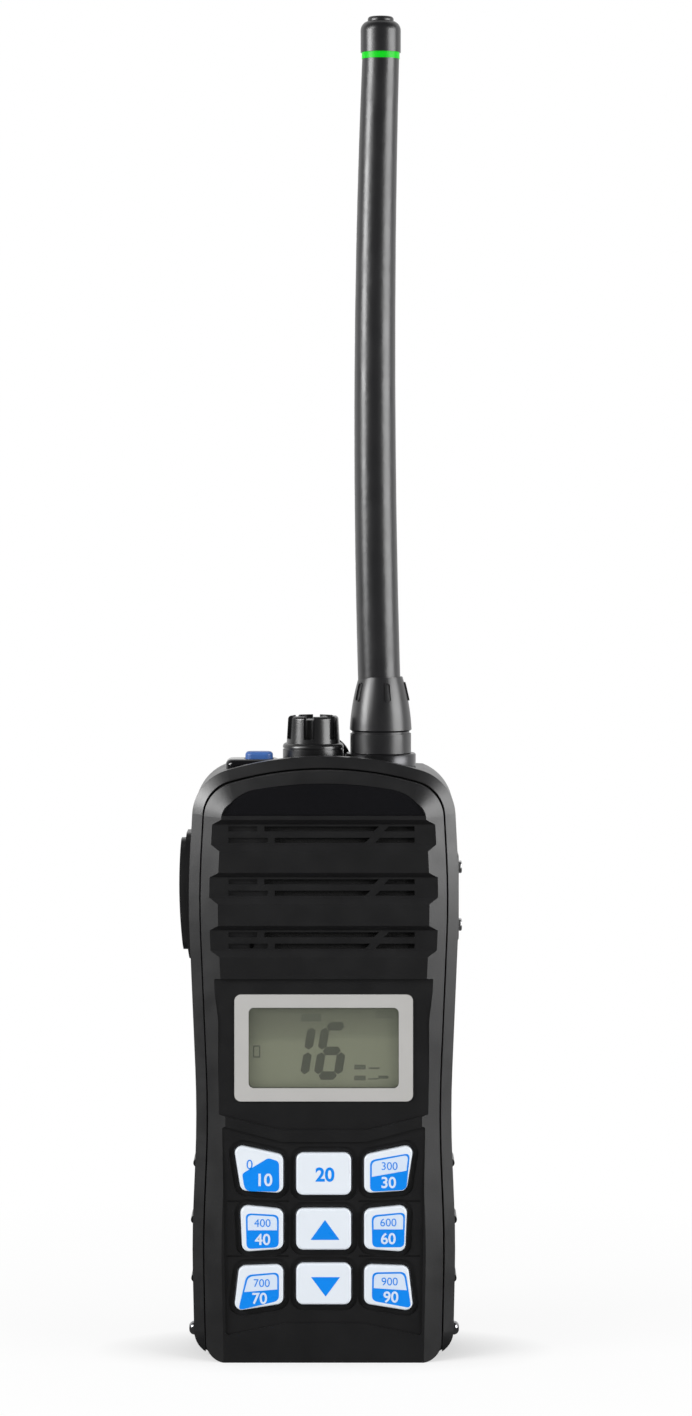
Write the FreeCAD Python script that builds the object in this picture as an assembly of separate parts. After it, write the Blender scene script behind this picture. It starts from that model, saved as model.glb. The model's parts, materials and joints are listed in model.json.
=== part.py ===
import FreeCAD, Part
import math
import os

# Handheld marine radio, in millimetres. Origin on the base below the body's centre, +Z up, front towards -Y.

# Case outline, seen from the front: half widths and heights of its corners, and the radii that round them
BASE_HALF = 29.75
SWELL_HALF = 30.35
WAIST_HALF = 29.15
CHEST_HALF = 31.3
SHOULDER_HALF = 29.9
SWELL_Z = 27.3
WAIST_Z = 55.6
CHEST_Z = 106.1
SHOULDER_Z = 132.6
CROWN_Z = 141.0
BASE_R = 5.8
SWELL_R = 250.0
WAIST_R = 250.0
CHEST_R = 200.0
SHOULDER_R = 11.0
CROWN_R = 80.0

# Depths, from the front face to the back
FACE_Y = -13.0
RIM_Y = -7.2
LEDGE_Y = -3.5
BAY_Y = 10.0
BACK_Y = 22.0

# Reach of cutting tools that only have to run past the body
FAR = 50.0

# Walls and clearances
SHELL_WALL = 2.0
FACE_WALL = 2.4
CASE_WALL = 4.6
BAY_WALL = 2.0
BAND_WIDTH = 2.9
GROOVE = 0.35
SEAL_THICK = 0.8
PLAY = 0.3
SNUG = 0.1
RUNNING = 0.05
FACE_BEVEL = 4.0
FACE_BEVEL_DEEP = 2.2
BAND_BEVEL = 2.4
BAND_BEVEL_DEEP = 1.5
BACK_ROUND = 2.4
FRONT_BASE = 0.0
FRONT_BASE_R = 4.2

# Rear case: foot under the battery, floor inside, head above the battery, deck on top
FOOT_TOP = 7.6
FLOOR_Z = 8.4
HEAD_Z = 117.4
DECK_Z = 134.4
DECK_FRONT_Y = -2.5
DECK_THICK = 2.2
CEILING_Z = DECK_Z - DECK_THICK
HEAD_WALL = 2.2

# Name plate recess
PLATE_BASE_Z = 124.9
PLATE_HALF = 23.2
PLATE_KNEE_HALF = 14.5
PLATE_KNEE_RISE = 6.1
PLATE_SIDE_HALF = 20.4
PLATE_SIDE_RISE = 3.7
PLATE_RISE = 7.3
PLATE_DEPTH = 0.9
PLATE_THICK = 0.6

# Grille: three sunk bands that run out at the bevelled sides, each with two rows of slots
BAND_COUNT = 3
BAND_TOP_Z = 120.5
BAND_PITCH = 12.1
BAND_FLOOR = 4.6
BAND_SLOPE_ABOVE = 1.15
BAND_SLOPE_BELOW = 1.45
BAND_DEPTH = 1.1
SLOT_HEIGHT = 1.15
SLOT_OFFSET = 1.3
SLOT_LEFT = -21.8
SLOT_RIGHT = 20.8
SLOT_RUNG = 0.8
UPPER_BRIDGE_LEFT = -14.4
LOWER_BRIDGE_LEFT = -12.0
UPPER_BRIDGE_RIGHT = 13.2
LOWER_BRIDGE_RIGHT = 11.2
BRIDGE_WIDTH = 2.2
BLIND_DEPTH = 0.7
MIC_X = -16.5
MIC_R = 0.6

# Display
SCREEN_TOP_Z = 87.6
SCREEN_TOP_HALF = 25.3
SCREEN_NECK_Z = 78.0
SCREEN_HALF = 24.1
SCREEN_LOW_Z = 56.6
SCREEN_FOOT_Z = 53.1
SCREEN_FOOT_HALF = 10.0
SCREEN_DEPTH = 0.8
DISPLAY_Z = 71.8
FRAME_HALF_X = 20.4
FRAME_HALF_Z = 12.2
FRAME_R = 1.5
FRAME_PROUD = 0.4
WINDOW_HALF_X = 17.15
WINDOW_HALF_Z = 9.2
WINDOW_R = 1.2
WINDOW_THICK = 1.2
LCD_THICK = 3.2
LCD_MARGIN = 1.4

# Keypad
PAD_TOP_Z = 54.0
PAD_TOP_HALF = 23.2
PAD_KNEE_Z = 50.4
PAD_KNEE_HALF = 9.6
PAD_LOW_HALF = 22.4
PAD_LOW_Z = 6.2
PAD_FOOT_HALF = 8.9
PAD_FOOT_Z = 9.0
PAD_DEPTH = 0.5
KEY_PROUD = 0.7
KEY_TRAVEL = 0.8
KEY_R = 1.6
KEY_EDGE = 0.5
KEY_HALF = 6.25
KEY_INNER = 9.25
KEY_RING = 1.4
KEY_RING_DEPTH = 0.5
KEY_FLANGE = 0.8
KEY_FLANGE_THICK = 0.8
SEAM_WIDTH = 0.4
SEAM_DEPTH = 0.3
KEY_ROW_Z = [43.1, 30.5, 18.0]
KEY_ROW_HALF = [4.8, 4.7, 4.7]
SEAM_INNER = 8.0
SEAM_OUTER = 22.0
# Side keys, one row each: outer top x and z, outer bottom x and z, inner top z, inner bottom z
SIDE_KEYS = [
    [20.6, 49.9, 18.9, 39.3, 47.4, 38.7],
    [19.05, 36.0, 18.6, 25.3, 35.0, 26.0],
    [19.3, 22.05, 20.5, 11.7, 22.4, 13.5],
]
KEY_NAMES = [
    ["key_top_left", "key_top_centre", "key_top_right"],
    ["key_middle_left", "key_up", "key_middle_right"],
    ["key_low_left", "key_down", "key_low_right"],
]
MAT_THICK = 1.0
PAD_BOARD_THICK = 1.0
DOME_R = 2.6
DOME_THICK = 0.3

# Speaker
SPEAKER_X = 3.0
SPEAKER_Z = 107.0
SPEAKER_R = 17.0
SPEAKER_LIP = 2.6
SPEAKER_DEPTH = 4.6
MAGNET_R = 8.5
MAGNET_DEPTH = 2.6
BASKET_THICK = 0.8
CONE_R = 8.0
GAUZE_THICK = 0.2
MIC_CAPSULE_R = 3.0
MIC_CAPSULE_DEPTH = 2.4

# Boards
BOARD_HALF = 19.6
BOARD_THICK = 1.2
BOARD_Y = -1.6
BOARD_TOP_Z = 129.0
SPREADER_THICK = 2.0
SPREADER_HALF_Z = 45.0
SPREADER_Z = 72.0
POST_R = 2.0
POST_X = 18.0
POST_Z = [30.0, 114.0]

# Case screws and their bosses
SCREW_X = 23.0
SCREW_LOW_Z = 12.4
SCREW_HIGH_Z = 113.0
SCREW_R = 1.25
SCREW_HEAD_R = 2.1
SCREW_HEAD_DEPTH = 1.1
BOSS_R = 2.1

# Grip ribs on both sides
RIB_Z = [43.7, 30.6, 17.1]
RIB_R = 1.0
RIB_SINK = 0.45
RIB_FRONT_Y = -2.0
RIB_BACK_Y = 8.0

# Knob
KNOB_X = -2.55
DECK_Y = 7.5
SKIRT_HEIGHT = 5.8
GRIP_HEIGHT = 6.3
NOTCH_RISE = 1.0
KNOB_SKIRT_Z = DECK_Z + SKIRT_HEIGHT
KNOB_TOP_Z = KNOB_SKIRT_Z + GRIP_HEIGHT
KNOB_LOBE_Z = KNOB_SKIRT_Z + NOTCH_RISE
KNOB_R = 5.85
KNOB_LOW_R = 6.25
SKIRT_R = 7.1
LOBE_COUNT = 6
NOTCH_R = 1.3
NOTCH_OUT = 5.65
NOTCH_TURN = 0.35
DISH_R = 4.7
DISH_DEPTH = 0.8
WAIST_RISE = 4.3
WAIST_CUT = 0.3
WAIST_HEIGHT = 0.4
KNOB_ROOF = 2.0
SHAFT_R = 3.0
BUSH_R = 3.7
BUSH_HEIGHT = 3.8
BUSH_TOP_Z = DECK_Z + BUSH_HEIGHT
NUT_R = 5.0
NUT_THICK = 2.0
ENCODER_HALF = 6.0
ENCODER_DEPTH = 5.0

# Antenna
ANTENNA_X = 13.2
FLANGE_R = 8.2
FLANGE_HEIGHT = 3.4
FLANGE_TOP_Z = DECK_Z + FLANGE_HEIGHT
COLLAR_R = 7.1
COLLAR_HEIGHT = 4.6
COLLAR_TOP_Z = FLANGE_TOP_Z + COLLAR_HEIGHT
COLLAR_GAP = 0.5
COLLAR_GROOVE = 0.4
SEAL_IN_R = 4.0
SEAL_OUT_R = 6.0
SEAL_DEPTH = 0.9
STUD_R = 3.0
STUD_LENGTH = 7.2
SOCKET_R = 5.0
SOCKET_DEPTH = 8.0
SLEEVE_R = 7.23
SLEEVE_MID_R = 6.2
SLEEVE_TOP_R = 5.1
SLEEVE_MID_Z = COLLAR_TOP_Z + 8.9
SLEEVE_TOP_Z = COLLAR_TOP_Z + 13.2
WHIP_LOW_R = 4.95
WHIP_MID_R = 4.8
WHIP_TOP_R = 4.32
WHIP_MID_Z = 220.0
WHIP_BOW = 1.35
RING_Z = 299.8
RING_HEIGHT = 1.5
RING_TOP_Z = RING_Z + RING_HEIGHT
CAP_HEIGHT = 8.4
CAP_TOP_Z = RING_TOP_Z + CAP_HEIGHT
CROWN_HEIGHT = 1.0
CAP_R = 4.7
CAP_CROWN_R = 3.04

# Power button on its raised surround
BUTTON_X = -15.1
BUTTON_Y = 4.0
BUTTON_HALF = 3.2
BUTTON_DEEP = 2.2
BUTTON_TRAVEL = 0.8
BUTTON_STEM = 0.4
SWITCH_HALF = 3.0
SWITCH_HEIGHT = 3.0
BEZEL_LEFT = -22.8
BEZEL_RIGHT = -10.3
BEZEL_DEEP = 4.6
BEZEL_HEIGHT = 2.4
BUTTON_PROUD = 1.6
BEZEL_TOP_Z = DECK_Z + BEZEL_HEIGHT
BUTTON_TOP_Z = BEZEL_TOP_Z + BUTTON_PROUD

# Strap eye behind the knob
EYE_X = 0.0
EYE_Y = 17.0
EYE_THICK = 2.4
EYE_R = 6.3
EYE_Z = DECK_Z + 0.6
EYE_HOLE_R = 3.2
EYE_HOLE_Z = EYE_Z + 1.8
EYE_ROOT = 1.6

# Push-to-talk key on the left side
PTT_LOW_Z = 90.9
PTT_HIGH_Z = 120.0
PTT_Y = 3.0
PTT_DEEP = 6.0
PTT_PEAK_Z = 108.0
PTT_PROUD = 1.1
PTT_THICK = 3.0
PTT_OUT = CHEST_HALF + PTT_PROUD
PTT_SINK = PTT_OUT - PTT_THICK
PTT_BULGE_R = 110.0
PTT_KEY_PROUD = 1.1
PTT_KEY_OUT = PTT_OUT + PTT_KEY_PROUD
PTT_KEY_LOW_Z = PTT_LOW_Z + 1.8
PTT_KEY_HIGH_Z = PTT_HIGH_Z - 1.6
PTT_KEY_DEEP = 3.8
PTT_KEY_R = 125.0
PTT_TRAVEL = 1.0
PTT_STEM = 3.0
PTT_STEM_PLAY = 2.0
PTT_R = 2.0
PTT_KEY_CORNER = 2.4
PTT_FRAME_FLOOR = 0.8
PTT_SWITCH_SINK = 2.6

# How far side holes run on behind the wall's chest
SIDE_REACH = 3.0

# Accessory cover on the right side, held by two screws
COVER_Z = 104.9
COVER_HALF_Z = 10.0
COVER_Y = 3.5
COVER_DEEP = 5.0
COVER_THICK = 1.2
COVER_OUT = CHEST_HALF - 0.1
COVER_SINK = COVER_OUT - COVER_THICK
COVER_SCREW_GAP = 13.4
COVER_SCREW_R = 1.5
COVER_THREAD_R = 0.75
COVER_THREAD = 2.4
COVER_SCREW_PROUD = 0.85
COVER_SCREW_OUT = COVER_OUT + COVER_SCREW_PROUD
JACK_GAP = 6.4
JACK_R = 2.4
JACK_DEEP = 3.0

# Battery and its contacts
BATTERY_LOW_Z = 8.0
BATTERY_WALL = 1.4
BATTERY_ROUND = 3.6
CELL_GAP = 0.5
CONTACT_X = 5.0
CONTACT_COUNT = 3
CONTACT_Z = 22.0
CONTACT_HALF = 1.3
LID_THICK = 1.2
LID_LAP = 1.2

# Battery latch on its cross pin
PIN_Y = 6.0
PIN_Z = 3.9
PIN_R = 1.0
PIN_HEAD_R = 1.6
PIN_HEAD_OUT = 1.5
LATCH_HALF = 20.0
LATCH_LOW_Z = 0.8
LATCH_TOP_Z = 3.4
LATCH_KNUCKLE_R = 2.5
HOOK_HALF = 9.0
HOOK_BACK_Y = BACK_Y - 0.4
HOOK_THICK = 2.0
HOOK_FRONT_Y = HOOK_BACK_Y - HOOK_THICK
HOOK_RISE = 3.4
LIP_RISE = 4.6
HOOK_TOP_Z = BATTERY_LOW_Z + HOOK_RISE
LIP_TOP_Z = BATTERY_LOW_Z + LIP_RISE

# Belt clip
CLIP_HALF = 9.0
CLIP_BASE_LOW_Z = 86.0
CLIP_BASE_HIGH_Z = 103.0
CLIP_BASE_THICK = 2.4
CLIP_PIN_Z = 94.5
CLIP_PIN_R = 1.0
CLIP_PIN_SINK = 0.7
CLIP_EYE_R = 2.6
CLIP_KNUCKLE_R = 2.2
CLIP_GAP = 5.2
CLIP_THICK = 2.6
CLIP_TOP_Z = 107.0
CLIP_LOW_Z = 38.0
CLIP_TIP = 2.6
CLIP_EAR = 2.2
CLIP_SCREW_R = 1.1
CLIP_SCREW_HEAD_R = 1.9
CLIP_SCREW_HEAD = 0.7
CLIP_SPRING_THICK = 0.6
CLIP_SPRING_HALF = 3.0


def at(x, y, z):
    """Point in space."""
    return FreeCAD.Vector(x, y, z)


def box(x0, x1, y0, y1, z0, z1):
    """Block between two corners."""
    return Part.makeBox(x1 - x0, y1 - y0, z1 - z0, at(x0, y0, z0))


def slab(z0, z1):
    """Wide block between two heights."""
    return box(-FAR, FAR, -FAR, FAR, z0, z1)


def rod(radius, start, end):
    """Round bar from one point to another."""
    return Part.makeCylinder(radius, (end - start).Length, start, end - start)


def tube(outer, inner, start, end):
    """Round bar with a bore along it."""
    return rod(outer, start, end).cut(rod(inner, start, end))


def rounded_wire(corners, place):
    """Closed wire through corners (u, v, radius), each rounded by an arc that touches both of its sides."""
    points = [FreeCAD.Vector(u, v, 0) for u, v, _ in corners]
    rounds = []
    for i, here in enumerate(points):
        radius = corners[i][2]
        back = (points[i - 1] - here).normalize()
        ahead = (points[(i + 1) % len(points)] - here).normalize()
        half = back.getAngle(ahead) / 2
        reach = radius / math.tan(half)
        middle = here + (back + ahead).normalize() * (radius / math.sin(half) - radius)
        rounds.append([here + back * reach, middle, here + ahead * reach])
    edges = []
    for i, (first, middle, last) in enumerate(rounds):
        spots = [place(p.x, p.y) for p in (first, middle, last)]
        if corners[i][2] > 0:
            edges.append(Part.Arc(*spots).toShape())
        start = rounds[(i + 1) % len(rounds)][0]
        following = place(start.x, start.y)
        if (following - spots[2]).Length > 1e-6:
            edges.append(Part.LineSegment(spots[2], following).toShape())
    return Part.Wire(edges)


def front_prism(corners, y0, y1):
    """Solid with an outline drawn on the front, between two depths."""
    face = Part.Face(rounded_wire(corners, lambda u, v: at(u, y0, v)))
    return face.extrude(at(0, y1 - y0, 0))


def bevelled_prism(outline, wide, deep, y0, y1):
    """Solid behind an outline that depends on its inset, with its front edge bevelled all round."""
    rings = [rounded_wire(outline(inset), lambda u, v, y=y: at(u, y, v))
             for inset, y in ((wide, y0), (0.0, y0 + deep))]
    return joined([Part.makeLoft(rings, True, True), front_prism(outline(0.0), y0 + deep, y1)])


def side_prism(corners, x0, x1):
    """Solid with an outline drawn on the side (y, z), between two values of x."""
    face = Part.Face(rounded_wire(corners, lambda u, v: at(x0, u, v)))
    return face.extrude(at(x1 - x0, 0, 0))


def top_prism(corners, z0, z1):
    """Solid with an outline drawn from above (x, y), between two heights."""
    face = Part.Face(rounded_wire(corners, lambda u, v: at(u, v, z0)))
    return face.extrude(at(0, 0, z1 - z0))


def pad(half_u, half_v, radius, centre_u=0.0, centre_v=0.0):
    """Corners of a rounded rectangle."""
    return [
        (centre_u - half_u, centre_v - half_v, radius),
        (centre_u + half_u, centre_v - half_v, radius),
        (centre_u + half_u, centre_v + half_v, radius),
        (centre_u - half_u, centre_v + half_v, radius),
    ]


def moved_corners(corners, insets):
    """Corners of the outline with each side moved inwards by its own inset (side i leaves corner i)."""
    count = len(corners)
    lines = []
    for i in range(count):
        here = FreeCAD.Vector(corners[i][0], corners[i][1], 0)
        there = FreeCAD.Vector(corners[(i + 1) % count][0], corners[(i + 1) % count][1], 0)
        along = (there - here).normalize()
        inward = FreeCAD.Vector(-along.y, along.x, 0)
        lines.append((here + inward * insets[i], along))
    result = []
    for i in range(count):
        point, along = lines[i - 1]
        other, side = lines[i]
        turn = along.x * side.y - along.y * side.x
        gap = other - point
        step = (gap.x * side.y - gap.y * side.x) / turn
        spot = point + along * step
        change = -insets[i] if turn > 0 else insets[i]
        radius = corners[i][2]
        result.append((spot.x, spot.y, max(radius + change, 0.2) if radius else 0.0))
    return result


def inset_corners(corners, inset):
    """Corners of a parallel outline, further in by the inset."""
    return moved_corners(corners, [inset] * len(corners))


def case_corners(inset=0.0, base_inset=None, base_r=None):
    """Corners of the body's outline, moved inwards, with their own inset and radius at the base."""
    right = [
        (BASE_HALF, 0.0, BASE_R),
        (SWELL_HALF, SWELL_Z, SWELL_R),
        (WAIST_HALF, WAIST_Z, WAIST_R),
        (CHEST_HALF, CHEST_Z, CHEST_R),
        (SHOULDER_HALF, SHOULDER_Z, SHOULDER_R),
    ]
    left = [(-x, z, r) for x, z, r in reversed(right)]
    corners = [left[-1]] + right + [(0.0, CROWN_Z, CROWN_R)] + left[:-1]
    insets = [inset] * len(corners)
    insets[0] = inset if base_inset is None else base_inset
    result = moved_corners(corners, insets)
    if base_r is not None:
        result[0] = (result[0][0], result[0][1], base_r)
        result[1] = (result[1][0], result[1][1], base_r)
    return result


def side_half(z):
    """Half width of the body at a height, along the straight sides of its outline."""
    knots = [(0.0, BASE_HALF), (SWELL_Z, SWELL_HALF), (WAIST_Z, WAIST_HALF), (CHEST_Z, CHEST_HALF)]
    knots.append((SHOULDER_Z, SHOULDER_HALF))
    for (low, low_half), (high, high_half) in zip(knots, knots[1:]):
        if low <= z <= high:
            return low_half + (high_half - low_half) * (z - low) / (high - low)
    return SHOULDER_HALF


def edges_at_y(shape, y):
    """Edges that lie in the plane at this depth."""
    return [e for e in shape.Edges if all(abs(v.Point.y - y) < 1e-4 for v in e.Vertexes)
            and abs(e.CenterOfMass.y - y) < 1e-4]


def edges_at_z(shape, z):
    """Edges that lie in the plane at this height."""
    return [e for e in shape.Edges if all(abs(v.Point.z - z) < 1e-4 for v in e.Vertexes)
            and abs(e.CenterOfMass.z - z) < 1e-4]


def joined(shapes):
    """One solid from several that overlap."""
    result = shapes[0]
    for shape in shapes[1:]:
        result = result.fuse(shape)
    return result.removeSplitter()


def without(shape, tools):
    """The shape with every tool cut out of it."""
    for tool in tools:
        shape = shape.cut(tool)
    return shape


def key_corners(row, column):
    """Outline of one key: column 0 is the left one, 1 the middle one, 2 the right one."""
    if column == 1:
        return pad(KEY_HALF, KEY_ROW_HALF[row], KEY_R, 0.0, KEY_ROW_Z[row])
    top_x, top_z, low_x, low_z, inner_top, inner_low = SIDE_KEYS[row]
    right = [(KEY_INNER, inner_low), (low_x, low_z), (top_x, top_z), (KEY_INNER, inner_top)]
    if column == 2:
        return [(x, z, KEY_R) for x, z in right]
    return [(-x, z, KEY_R) for x, z in reversed(right)]


def plate_corners_wire(inset, y):
    """Wire of the arched name plate: a flat foot, two steep sides and a low crown."""
    base = PLATE_BASE_Z + inset
    half = PLATE_HALF - inset * 1.6
    knee = (PLATE_KNEE_HALF - inset * 0.3, PLATE_BASE_Z + PLATE_KNEE_RISE - inset)
    side = (PLATE_SIDE_HALF - inset, PLATE_BASE_Z + PLATE_SIDE_RISE - inset * 0.7)
    crown = at(0, y, PLATE_BASE_Z + PLATE_RISE - inset)
    left_foot = at(-half, y, base)
    right_foot = at(half, y, base)
    left_knee = at(-knee[0], y, knee[1])
    right_knee = at(knee[0], y, knee[1])
    return Part.Wire([
        Part.LineSegment(left_foot, right_foot).toShape(),
        Part.Arc(right_foot, at(side[0], y, side[1]), right_knee).toShape(),
        Part.Arc(right_knee, crown, left_knee).toShape(),
        Part.Arc(left_knee, at(-side[0], y, side[1]), left_foot).toShape(),
    ])


def band_z(index):
    """Height of the middle of one grille band."""
    return BAND_TOP_Z - index * BAND_PITCH


def band_recess(index):
    """Sunk band with sloped walls above and below, open at both ends."""
    z = band_z(index)
    out = 1.0 + 1.0 / BAND_DEPTH
    spots = [
        (FACE_Y - 1.0, z + BAND_FLOOR / 2 + BAND_SLOPE_ABOVE * out),
        (FACE_Y + BAND_DEPTH, z + BAND_FLOOR / 2),
        (FACE_Y + BAND_DEPTH, z - BAND_FLOOR / 2),
        (FACE_Y - 1.0, z - BAND_FLOOR / 2 - BAND_SLOPE_BELOW * out),
    ]
    section = Part.makePolygon([at(-FAR, y, height) for y, height in spots + spots[:1]])
    return Part.Face(section).extrude(at(2 * FAR, 0, 0))


def slot_spans(row):
    """Open stretches of one row of slots as (left, right, goes through): row +1 is the upper one."""
    left_bridge = UPPER_BRIDGE_LEFT if row > 0 else LOWER_BRIDGE_LEFT
    right_bridge = UPPER_BRIDGE_RIGHT if row > 0 else LOWER_BRIDGE_RIGHT
    half = BRIDGE_WIDTH / 2
    return [
        (SLOT_LEFT, left_bridge - SLOT_RUNG, False),
        (left_bridge + SLOT_RUNG, right_bridge - half, True),
        (right_bridge + half, SLOT_RIGHT, True),
    ]


def slot_cuts(index):
    """Slots of one band: slanted ends at the bridge, and a shallow stretch at the left."""
    cuts = []
    for row in (1, -1):
        z = band_z(index) + row * SLOT_OFFSET
        lean = SLOT_HEIGHT / 2
        for left, right, through in slot_spans(row):
            depth = FACE_WALL + 1.0 if through else BAND_DEPTH + BLIND_DEPTH
            lean_left = lean if left > 0 else 0.0
            lean_right = lean if through and right < SLOT_RIGHT else 0.0
            spots = [(left - lean_left, z - lean), (right - lean_right, z - lean),
                     (right + lean_right, z + lean), (left + lean_left, z + lean)]
            wire = Part.makePolygon([at(x, FACE_Y - 1.0, h) for x, h in spots + spots[:1]])
            cuts.append(Part.Face(wire).extrude(at(0, depth + 1.0, 0)))
    return cuts


def screen_corners():
    """Outline of the sunk field round the display."""
    right = [(SCREEN_FOOT_HALF, SCREEN_FOOT_Z, 2.0), (SCREEN_HALF, SCREEN_LOW_Z, 0.6),
             (SCREEN_HALF, SCREEN_NECK_Z, 12.0), (SCREEN_TOP_HALF, SCREEN_TOP_Z, 0.6)]
    return right + [(-x, z, r) for x, z, r in reversed(right)]


def keypad_corners():
    """Outline of the sunk field round the keys."""
    right = [(PAD_FOOT_HALF, PAD_FOOT_Z, 2.0), (PAD_LOW_HALF, PAD_LOW_Z, 0.6),
             (PAD_TOP_HALF, PAD_TOP_Z, 0.6), (PAD_KNEE_HALF, PAD_KNEE_Z, 2.0)]
    return right + [(-x, z, r) for x, z, r in reversed(right)]


def all_keys():
    """Row and column of each key."""
    return [(row, column) for row in range(len(KEY_ROW_Z)) for column in range(3)]


def screw_spots():
    """X and z of the four case screws."""
    return [(side * SCREW_X, z) for side in (-1, 1) for z in (SCREW_LOW_Z, SCREW_HIGH_Z)]


def front_case():
    """Front shell: bevelled sides, sharp foot, name plate recess, grille, display and key openings, bosses."""
    back = LEDGE_Y - SEAL_THICK

    def outline(inset):
        return case_corners(BAND_WIDTH + inset, -FAR / 2, FRONT_BASE_R)

    long = bevelled_prism(outline, FACE_BEVEL, FACE_BEVEL_DEEP, FACE_Y, back)
    shell = long.common(front_prism(case_corners(BAND_WIDTH, FRONT_BASE, FRONT_BASE_R), FACE_Y, back))
    inner = case_corners(BAND_WIDTH + SHELL_WALL, FRONT_BASE + SHELL_WALL, FRONT_BASE_R - SHELL_WALL)
    cavity = front_prism(inner, FACE_Y + FACE_WALL, back + 1.0)
    shell = shell.cut(cavity)
    bosses = [rod(BOSS_R, at(x, FACE_Y + FACE_WALL - 0.5, z), at(x, back, z)) for x, z in screw_spots()]
    shell = joined([shell] + bosses)
    plate = Part.Face(plate_corners_wire(0.0, FACE_Y - 1.0)).extrude(at(0, PLATE_DEPTH + 1.0, 0))
    cuts = [plate]
    for index in range(BAND_COUNT):
        cuts.append(band_recess(index))
        cuts += slot_cuts(index)
    cuts.append(front_prism(screen_corners(), FACE_Y - 1.0, FACE_Y + SCREEN_DEPTH))
    opening = pad(WINDOW_HALF_X + SNUG, WINDOW_HALF_Z + SNUG, WINDOW_R, 0.0, DISPLAY_Z)
    cuts.append(front_prism(opening, FACE_Y - 1.0, FACE_Y + FACE_WALL + 1.0))
    cuts.append(front_prism(keypad_corners(), FACE_Y - 1.0, FACE_Y + PAD_DEPTH))
    for row, column in all_keys():
        outline = key_corners(row, column)
        ring_depth = FACE_Y + PAD_DEPTH + KEY_RING_DEPTH
        cuts.append(front_prism(inset_corners(outline, -KEY_RING), FACE_Y - 1.0, ring_depth))
        cuts.append(front_prism(inset_corners(outline, -PLAY), FACE_Y - 1.0, FACE_Y + FACE_WALL + 1.0))
    for upper, lower in zip(range(2), range(1, 3)):
        z = (KEY_ROW_Z[upper] + KEY_ROW_Z[lower]) / 2
        for side in (-1, 1):
            ends = sorted([side * SEAM_INNER, side * SEAM_OUTER])
            depth = FACE_Y + PAD_DEPTH + SEAM_DEPTH
            cuts.append(box(ends[0], ends[1], FACE_Y, depth, z - SEAM_WIDTH / 2, z + SEAM_WIDTH / 2))
    mic_z = band_z(BAND_COUNT - 1) - SLOT_OFFSET
    cuts.append(rod(MIC_R, at(MIC_X, FACE_Y - 1.0, mic_z), at(MIC_X, FACE_Y + FACE_WALL + 1.0, mic_z)))
    for x, z in screw_spots():
        cuts.append(rod(SCREW_R, at(x, FACE_Y + FACE_WALL, z), at(x, back + 1.0, z)))
    return without(shell, cuts)


def name_plate():
    """Bare glossy plate under the crown."""
    wire = plate_corners_wire(SNUG, FACE_Y + PLATE_DEPTH - PLATE_THICK)
    return Part.Face(wire).extrude(at(0, PLATE_THICK, 0))


def case_seal():
    """Rubber ring between the two halves of the case."""
    front = LEDGE_Y - SEAL_THICK
    outer = case_corners(BAND_WIDTH + SNUG, FRONT_BASE + SNUG, FRONT_BASE_R - SNUG)
    width = SHELL_WALL - 2 * SNUG
    inner = case_corners(BAND_WIDTH + SNUG + width, FRONT_BASE + SNUG + width, FRONT_BASE_R - SNUG - width)
    ring = front_prism(outer, front, LEDGE_Y).cut(front_prism(inner, front - 1.0, LEDGE_Y + 1.0))
    holes = [rod(BOSS_R + PLAY, at(x, front - 1.0, z), at(x, LEDGE_Y + 1.0, z)) for x, z in screw_spots()]
    return without(ring, holes)


def ptt_slab(low, high, deep, out, sink, bulge, corner):
    """Side plate with rounded corners and an outer face that bulges in a long arc."""
    outline = pad(deep, (high - low) / 2, corner, PTT_Y, (high + low) / 2)
    slab = side_prism(outline, -out, -sink)
    drum = rod(bulge, at(-out + bulge, PTT_Y - FAR, PTT_PEAK_Z), at(-out + bulge, PTT_Y + FAR, PTT_PEAK_Z))
    return slab.common(drum)


def knob_axis(z):
    """Point on the knob's axis."""
    return at(KNOB_X, DECK_Y, z)


def antenna_axis(z):
    """Point on the antenna's axis."""
    return at(ANTENNA_X, DECK_Y, z)


def button_corners(grow):
    """Outline of the power button from above."""
    return pad(BUTTON_HALF + grow, BUTTON_DEEP + grow, BUTTON_DEEP * 0.8 + grow, BUTTON_X, BUTTON_Y)


def contact_xs():
    """X of each battery contact."""
    return [(i - (CONTACT_COUNT - 1) / 2) * CONTACT_X for i in range(CONTACT_COUNT)]


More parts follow.
